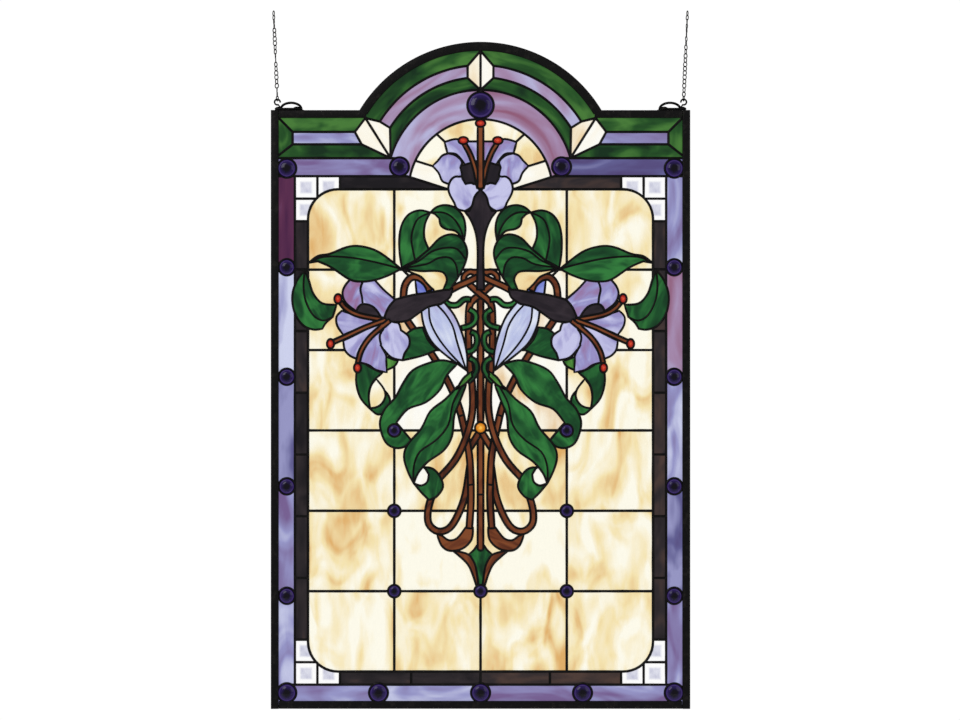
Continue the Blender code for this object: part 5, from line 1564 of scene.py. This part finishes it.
class STAINED_GLASS_OT_hooks(bpy.types.Operator):
    """Bend the two wire hooks and solder them on the shoulders."""
    bl_idname = "stained_glass.hooks"
    bl_label = "Hooks"

    def execute(self, context):
        wire_width = context.scene.window_sizes.hook_wire
        pad_top = SHOULDER_HEIGHT + CLEARANCE + HOOK_PAD_HEIGHT
        curl = HOOK_CURL_RADIUS + CLEARANCE - wire_width * HOOK_CURL_SHARE / 2
        foot = HOOK_SIDE - HOOK_PAD_LENGTH
        spread = (HOOK_PAD_LENGTH - HOOK_CURL_RADIUS) / 2
        rise = SHOULDER_HEIGHT + HOOK_ARCH_HEIGHT - pad_top
        for side, name in ((-1, "hook_left"), (1, "hook_right")):
            arch = [pi - pi * i / HOOK_STEPS for i in range(HOOK_STEPS)]
            turns = [HOOK_CURL_START + (HOOK_CURL_END - HOOK_CURL_START) * i / HOOK_STEPS
                     for i in range(HOOK_STEPS + 1)]
            wire = [(side * (foot + spread + spread * cos(a)), 0,
                     pad_top - wire_width / 2 + rise * sin(a), 1.0) for a in arch]
            wire += [(side * (HOOK_SIDE + curl * cos(a)), 0, HOOK_CURL_HEIGHT + curl * sin(a),
                      HOOK_CURL_SHARE) for a in turns]
            bm = rods(name, [(wire, False)], radius=wire_width / 2, resolution=4, weld=WELD)
            left, right = sorted((side * (foot - wire_width), side * (HOOK_SIDE + wire_width)))
            pad = bmesh.ops.create_cube(bm, size=1.0)["verts"]
            bmesh.ops.scale(bm, vec=(right - left, HOOK_PAD_DEPTH, HOOK_PAD_HEIGHT), verts=pad)
            bmesh.ops.translate(bm, vec=((left + right) / 2, 0, pad_top - HOOK_PAD_HEIGHT / 2), verts=pad)
            for vert in pad:
                is_inner = side * vert.co.x < HOOK_SIDE - HOOK_PAD_LENGTH / 2
                if is_inner and vert.co.z > pad_top - HOOK_PAD_HEIGHT / 2:
                    vert.co.x += side * HOOK_PAD_SLOPE
            pad_edges = {edge for vert in pad for edge in vert.link_edges}
            bmesh.ops.bevel(bm, geom=list(pad_edges), offset=HOOK_PAD_ROUNDING, offset_type="OFFSET",
                            segments=3, profile=0.5, affect="EDGES", material=-1)
            for x in (side * (foot + SOLDER_INNER), side * (HOOK_SIDE - SOLDER_OUTER)):
                blob = bmesh.ops.create_icosphere(bm, subdivisions=3, radius=SOLDER_RADIUS)["verts"]
                bmesh.ops.scale(bm, vec=SOLDER_SHAPE, verts=blob)
                bmesh.ops.translate(bm, vec=(x, 0, pad_top - SOLDER_SINK), verts=blob)
            add_piece(name + "_wire", finish_mesh(bm, name), metal_material("wire_patina"),
                      [name])
        return {"FINISHED"}


class STAINED_GLASS_OT_chains(bpy.types.Operator):
    """Link the two slowly twisting chains."""
    bl_idname = "stained_glass.chains"
    bl_label = "Chains"

    def execute(self, context):
        wire = context.scene.window_sizes.link_wire
        chain_foot = HANG_HEIGHT - LINK_LENGTH - (LINKS - 1) * LINK_PITCH
        wide, high = (LINK_WIDTH - wire) / 2, (LINK_LENGTH - wire) / 2
        for side, name in ((-1, "chain_left"), (1, "chain_right")):
            foot = Vector((side * HOOK_SIDE, 0, chain_foot + LINK_LENGTH / 2))
            top = Vector((side * (HOOK_SIDE + CHAIN_SPREAD), 0, HANG_HEIGHT - LINK_LENGTH / 2))
            facing, quarter = CHAIN_TWISTS[name]
            lines = []
            for i in range(LINKS):
                middle = foot.lerp(top, i / (LINKS - 1))
                turn = (i - facing) / quarter * pi / 2 + (LINK_LEAN if i % 2 else -LINK_LEAN)
                half = wide * (WIDE_LINK_GROWTH if side < 0 and i == WIDE_LINK else 1.0)
                turns = [2 * pi * k / LINK_SIDES for k in range(LINK_SIDES)]
                lines.append(([(middle.x + half * cos(a) * cos(turn), half * cos(a) * sin(turn),
                                middle.z + high * sin(a), 1.0) for a in turns], True))
            bm = rods(name, lines, radius=wire / 2, resolution=1, weld=WELD)
            add_piece(name + "_links", finish_mesh(bm, name), metal_material("wire_patina"),
                      [name])
        return {"FINISHED"}


class STAINED_GLASS_OT_stage(bpy.types.Operator):
    """Set up the pale floor, the soft light and the camera."""
    bl_idname = "stained_glass.stage"
    bl_label = "Stage"

    def execute(self, context):
        scene = context.scene
        bm = bmesh.new()
        bmesh.ops.create_circle(bm, cap_ends=True, radius=FLOOR_RADIUS, segments=FLOOR_SIDES)
        bmesh.ops.translate(bm, verts=bm.verts[:], vec=(0, 0, -HANG_HEIGHT - FLOOR_DROP))
        mesh = bpy.data.meshes.new("floor")
        bm.to_mesh(mesh)
        bm.free()
        pale, tree, shader = new_material("pale_floor")
        spot = add_node(tree, "ShaderNodeTexCoord").outputs["Object"]
        speckle = add_node(tree, "ShaderNodeTexNoise", {"Vector": spot, "Scale": 60.0})
        level = add_node(tree, "ShaderNodeMapRange",
                         {"Value": speckle.outputs[0], "To Min": 0.5, "To Max": 0.62})
        tree.links.new(level.outputs[0], shader.inputs["Roughness"])
        shader.inputs["Base Color"].default_value = (0.86, 0.86, 0.87, 1)
        mesh.materials.append(pale)
        floor = bpy.data.objects.new("floor", mesh)
        scene.collection.objects.link(floor)
        self.light_up(scene)
        distance = METRES_PER_PIXEL * PICTURE_WIDTH * LENS / SENSOR
        data = bpy.data.cameras.new("camera")
        data.lens = LENS
        data.sensor_width = SENSOR
        camera = bpy.data.objects.new("camera", data)
        camera.location = (CAMERA_SIDE, -distance, CAMERA_HEIGHT - HANG_HEIGHT)
        camera.rotation_euler = (pi / 2, 0, 0)
        scene.collection.objects.link(camera)
        scene.camera = camera
        scene.view_settings.view_transform = "Standard"
        return {"FINISHED"}

    def light_up(self, scene):
        """A white surrounding for the camera, dimmer as light, and three soft lamps."""
        world = bpy.data.worlds.new("white_surrounding")
        world.use_nodes = True
        scene.world = world
        tree = world.node_tree
        backdrop = tree.nodes["Background"]
        path = add_node(tree, "ShaderNodeLightPath")
        level = add_node(tree, "ShaderNodeMapRange",
                         {"Value": path.outputs["Is Camera Ray"], "To Min": WORLD_LIGHT,
                          "To Max": WORLD_SEEN})
        backdrop.inputs["Color"].default_value = (1, 1, 1, 1)
        tree.links.new(level.outputs[0], backdrop.inputs["Strength"])
        middle = Vector((0, 0, CAMERA_HEIGHT - HANG_HEIGHT))
        for name, spot, size, power in LAMPS:
            data = bpy.data.lights.new(name, "AREA")
            data.size = size
            data.energy = power
            lamp = bpy.data.objects.new(name, data)
            lamp.location = spot
            lamp.rotation_euler = (middle - Vector(spot)).to_track_quat("-Z", "Y").to_euler()
            scene.collection.objects.link(lamp)


class STAINED_GLASS_PT_window(bpy.types.Panel):
    """The window's steps, in the 3D view's sidebar."""
    bl_idname = "STAINED_GLASS_PT_window"
    bl_label = "Stained glass window"
    bl_space_type = "VIEW_3D"
    bl_region_type = "UI"
    bl_category = "Window"

    def draw(self, context):
        for step in STEPS:
            self.layout.operator("stained_glass." + step)


STEPS = ("stage", "glass", "seams", "jewels", "frame", "hooks", "chains")
CLASSES = (WindowSizes, WindowColours, STAINED_GLASS_OT_stage, STAINED_GLASS_OT_glass,
           STAINED_GLASS_OT_seams, STAINED_GLASS_OT_jewels, STAINED_GLASS_OT_frame,
           STAINED_GLASS_OT_hooks, STAINED_GLASS_OT_chains, STAINED_GLASS_PT_window)


def register():
    """Register the classes and the window's properties."""
    for cls in CLASSES:
        bpy.utils.register_class(cls)
    bpy.types.Scene.window_sizes = bpy.props.PointerProperty(type=WindowSizes)
    bpy.types.Scene.window_colours = bpy.props.PointerProperty(type=WindowColours)


def unregister():
    """Take the classes and the properties away again."""
    del bpy.types.Scene.window_colours
    del bpy.types.Scene.window_sizes
    for cls in reversed(CLASSES):
        bpy.utils.unregister_class(cls)


def main():
    """Make the window and its stage."""
    register()
    for step in STEPS:
        getattr(bpy.ops.stained_glass, step)()


if __name__ == "__main__":
    main()
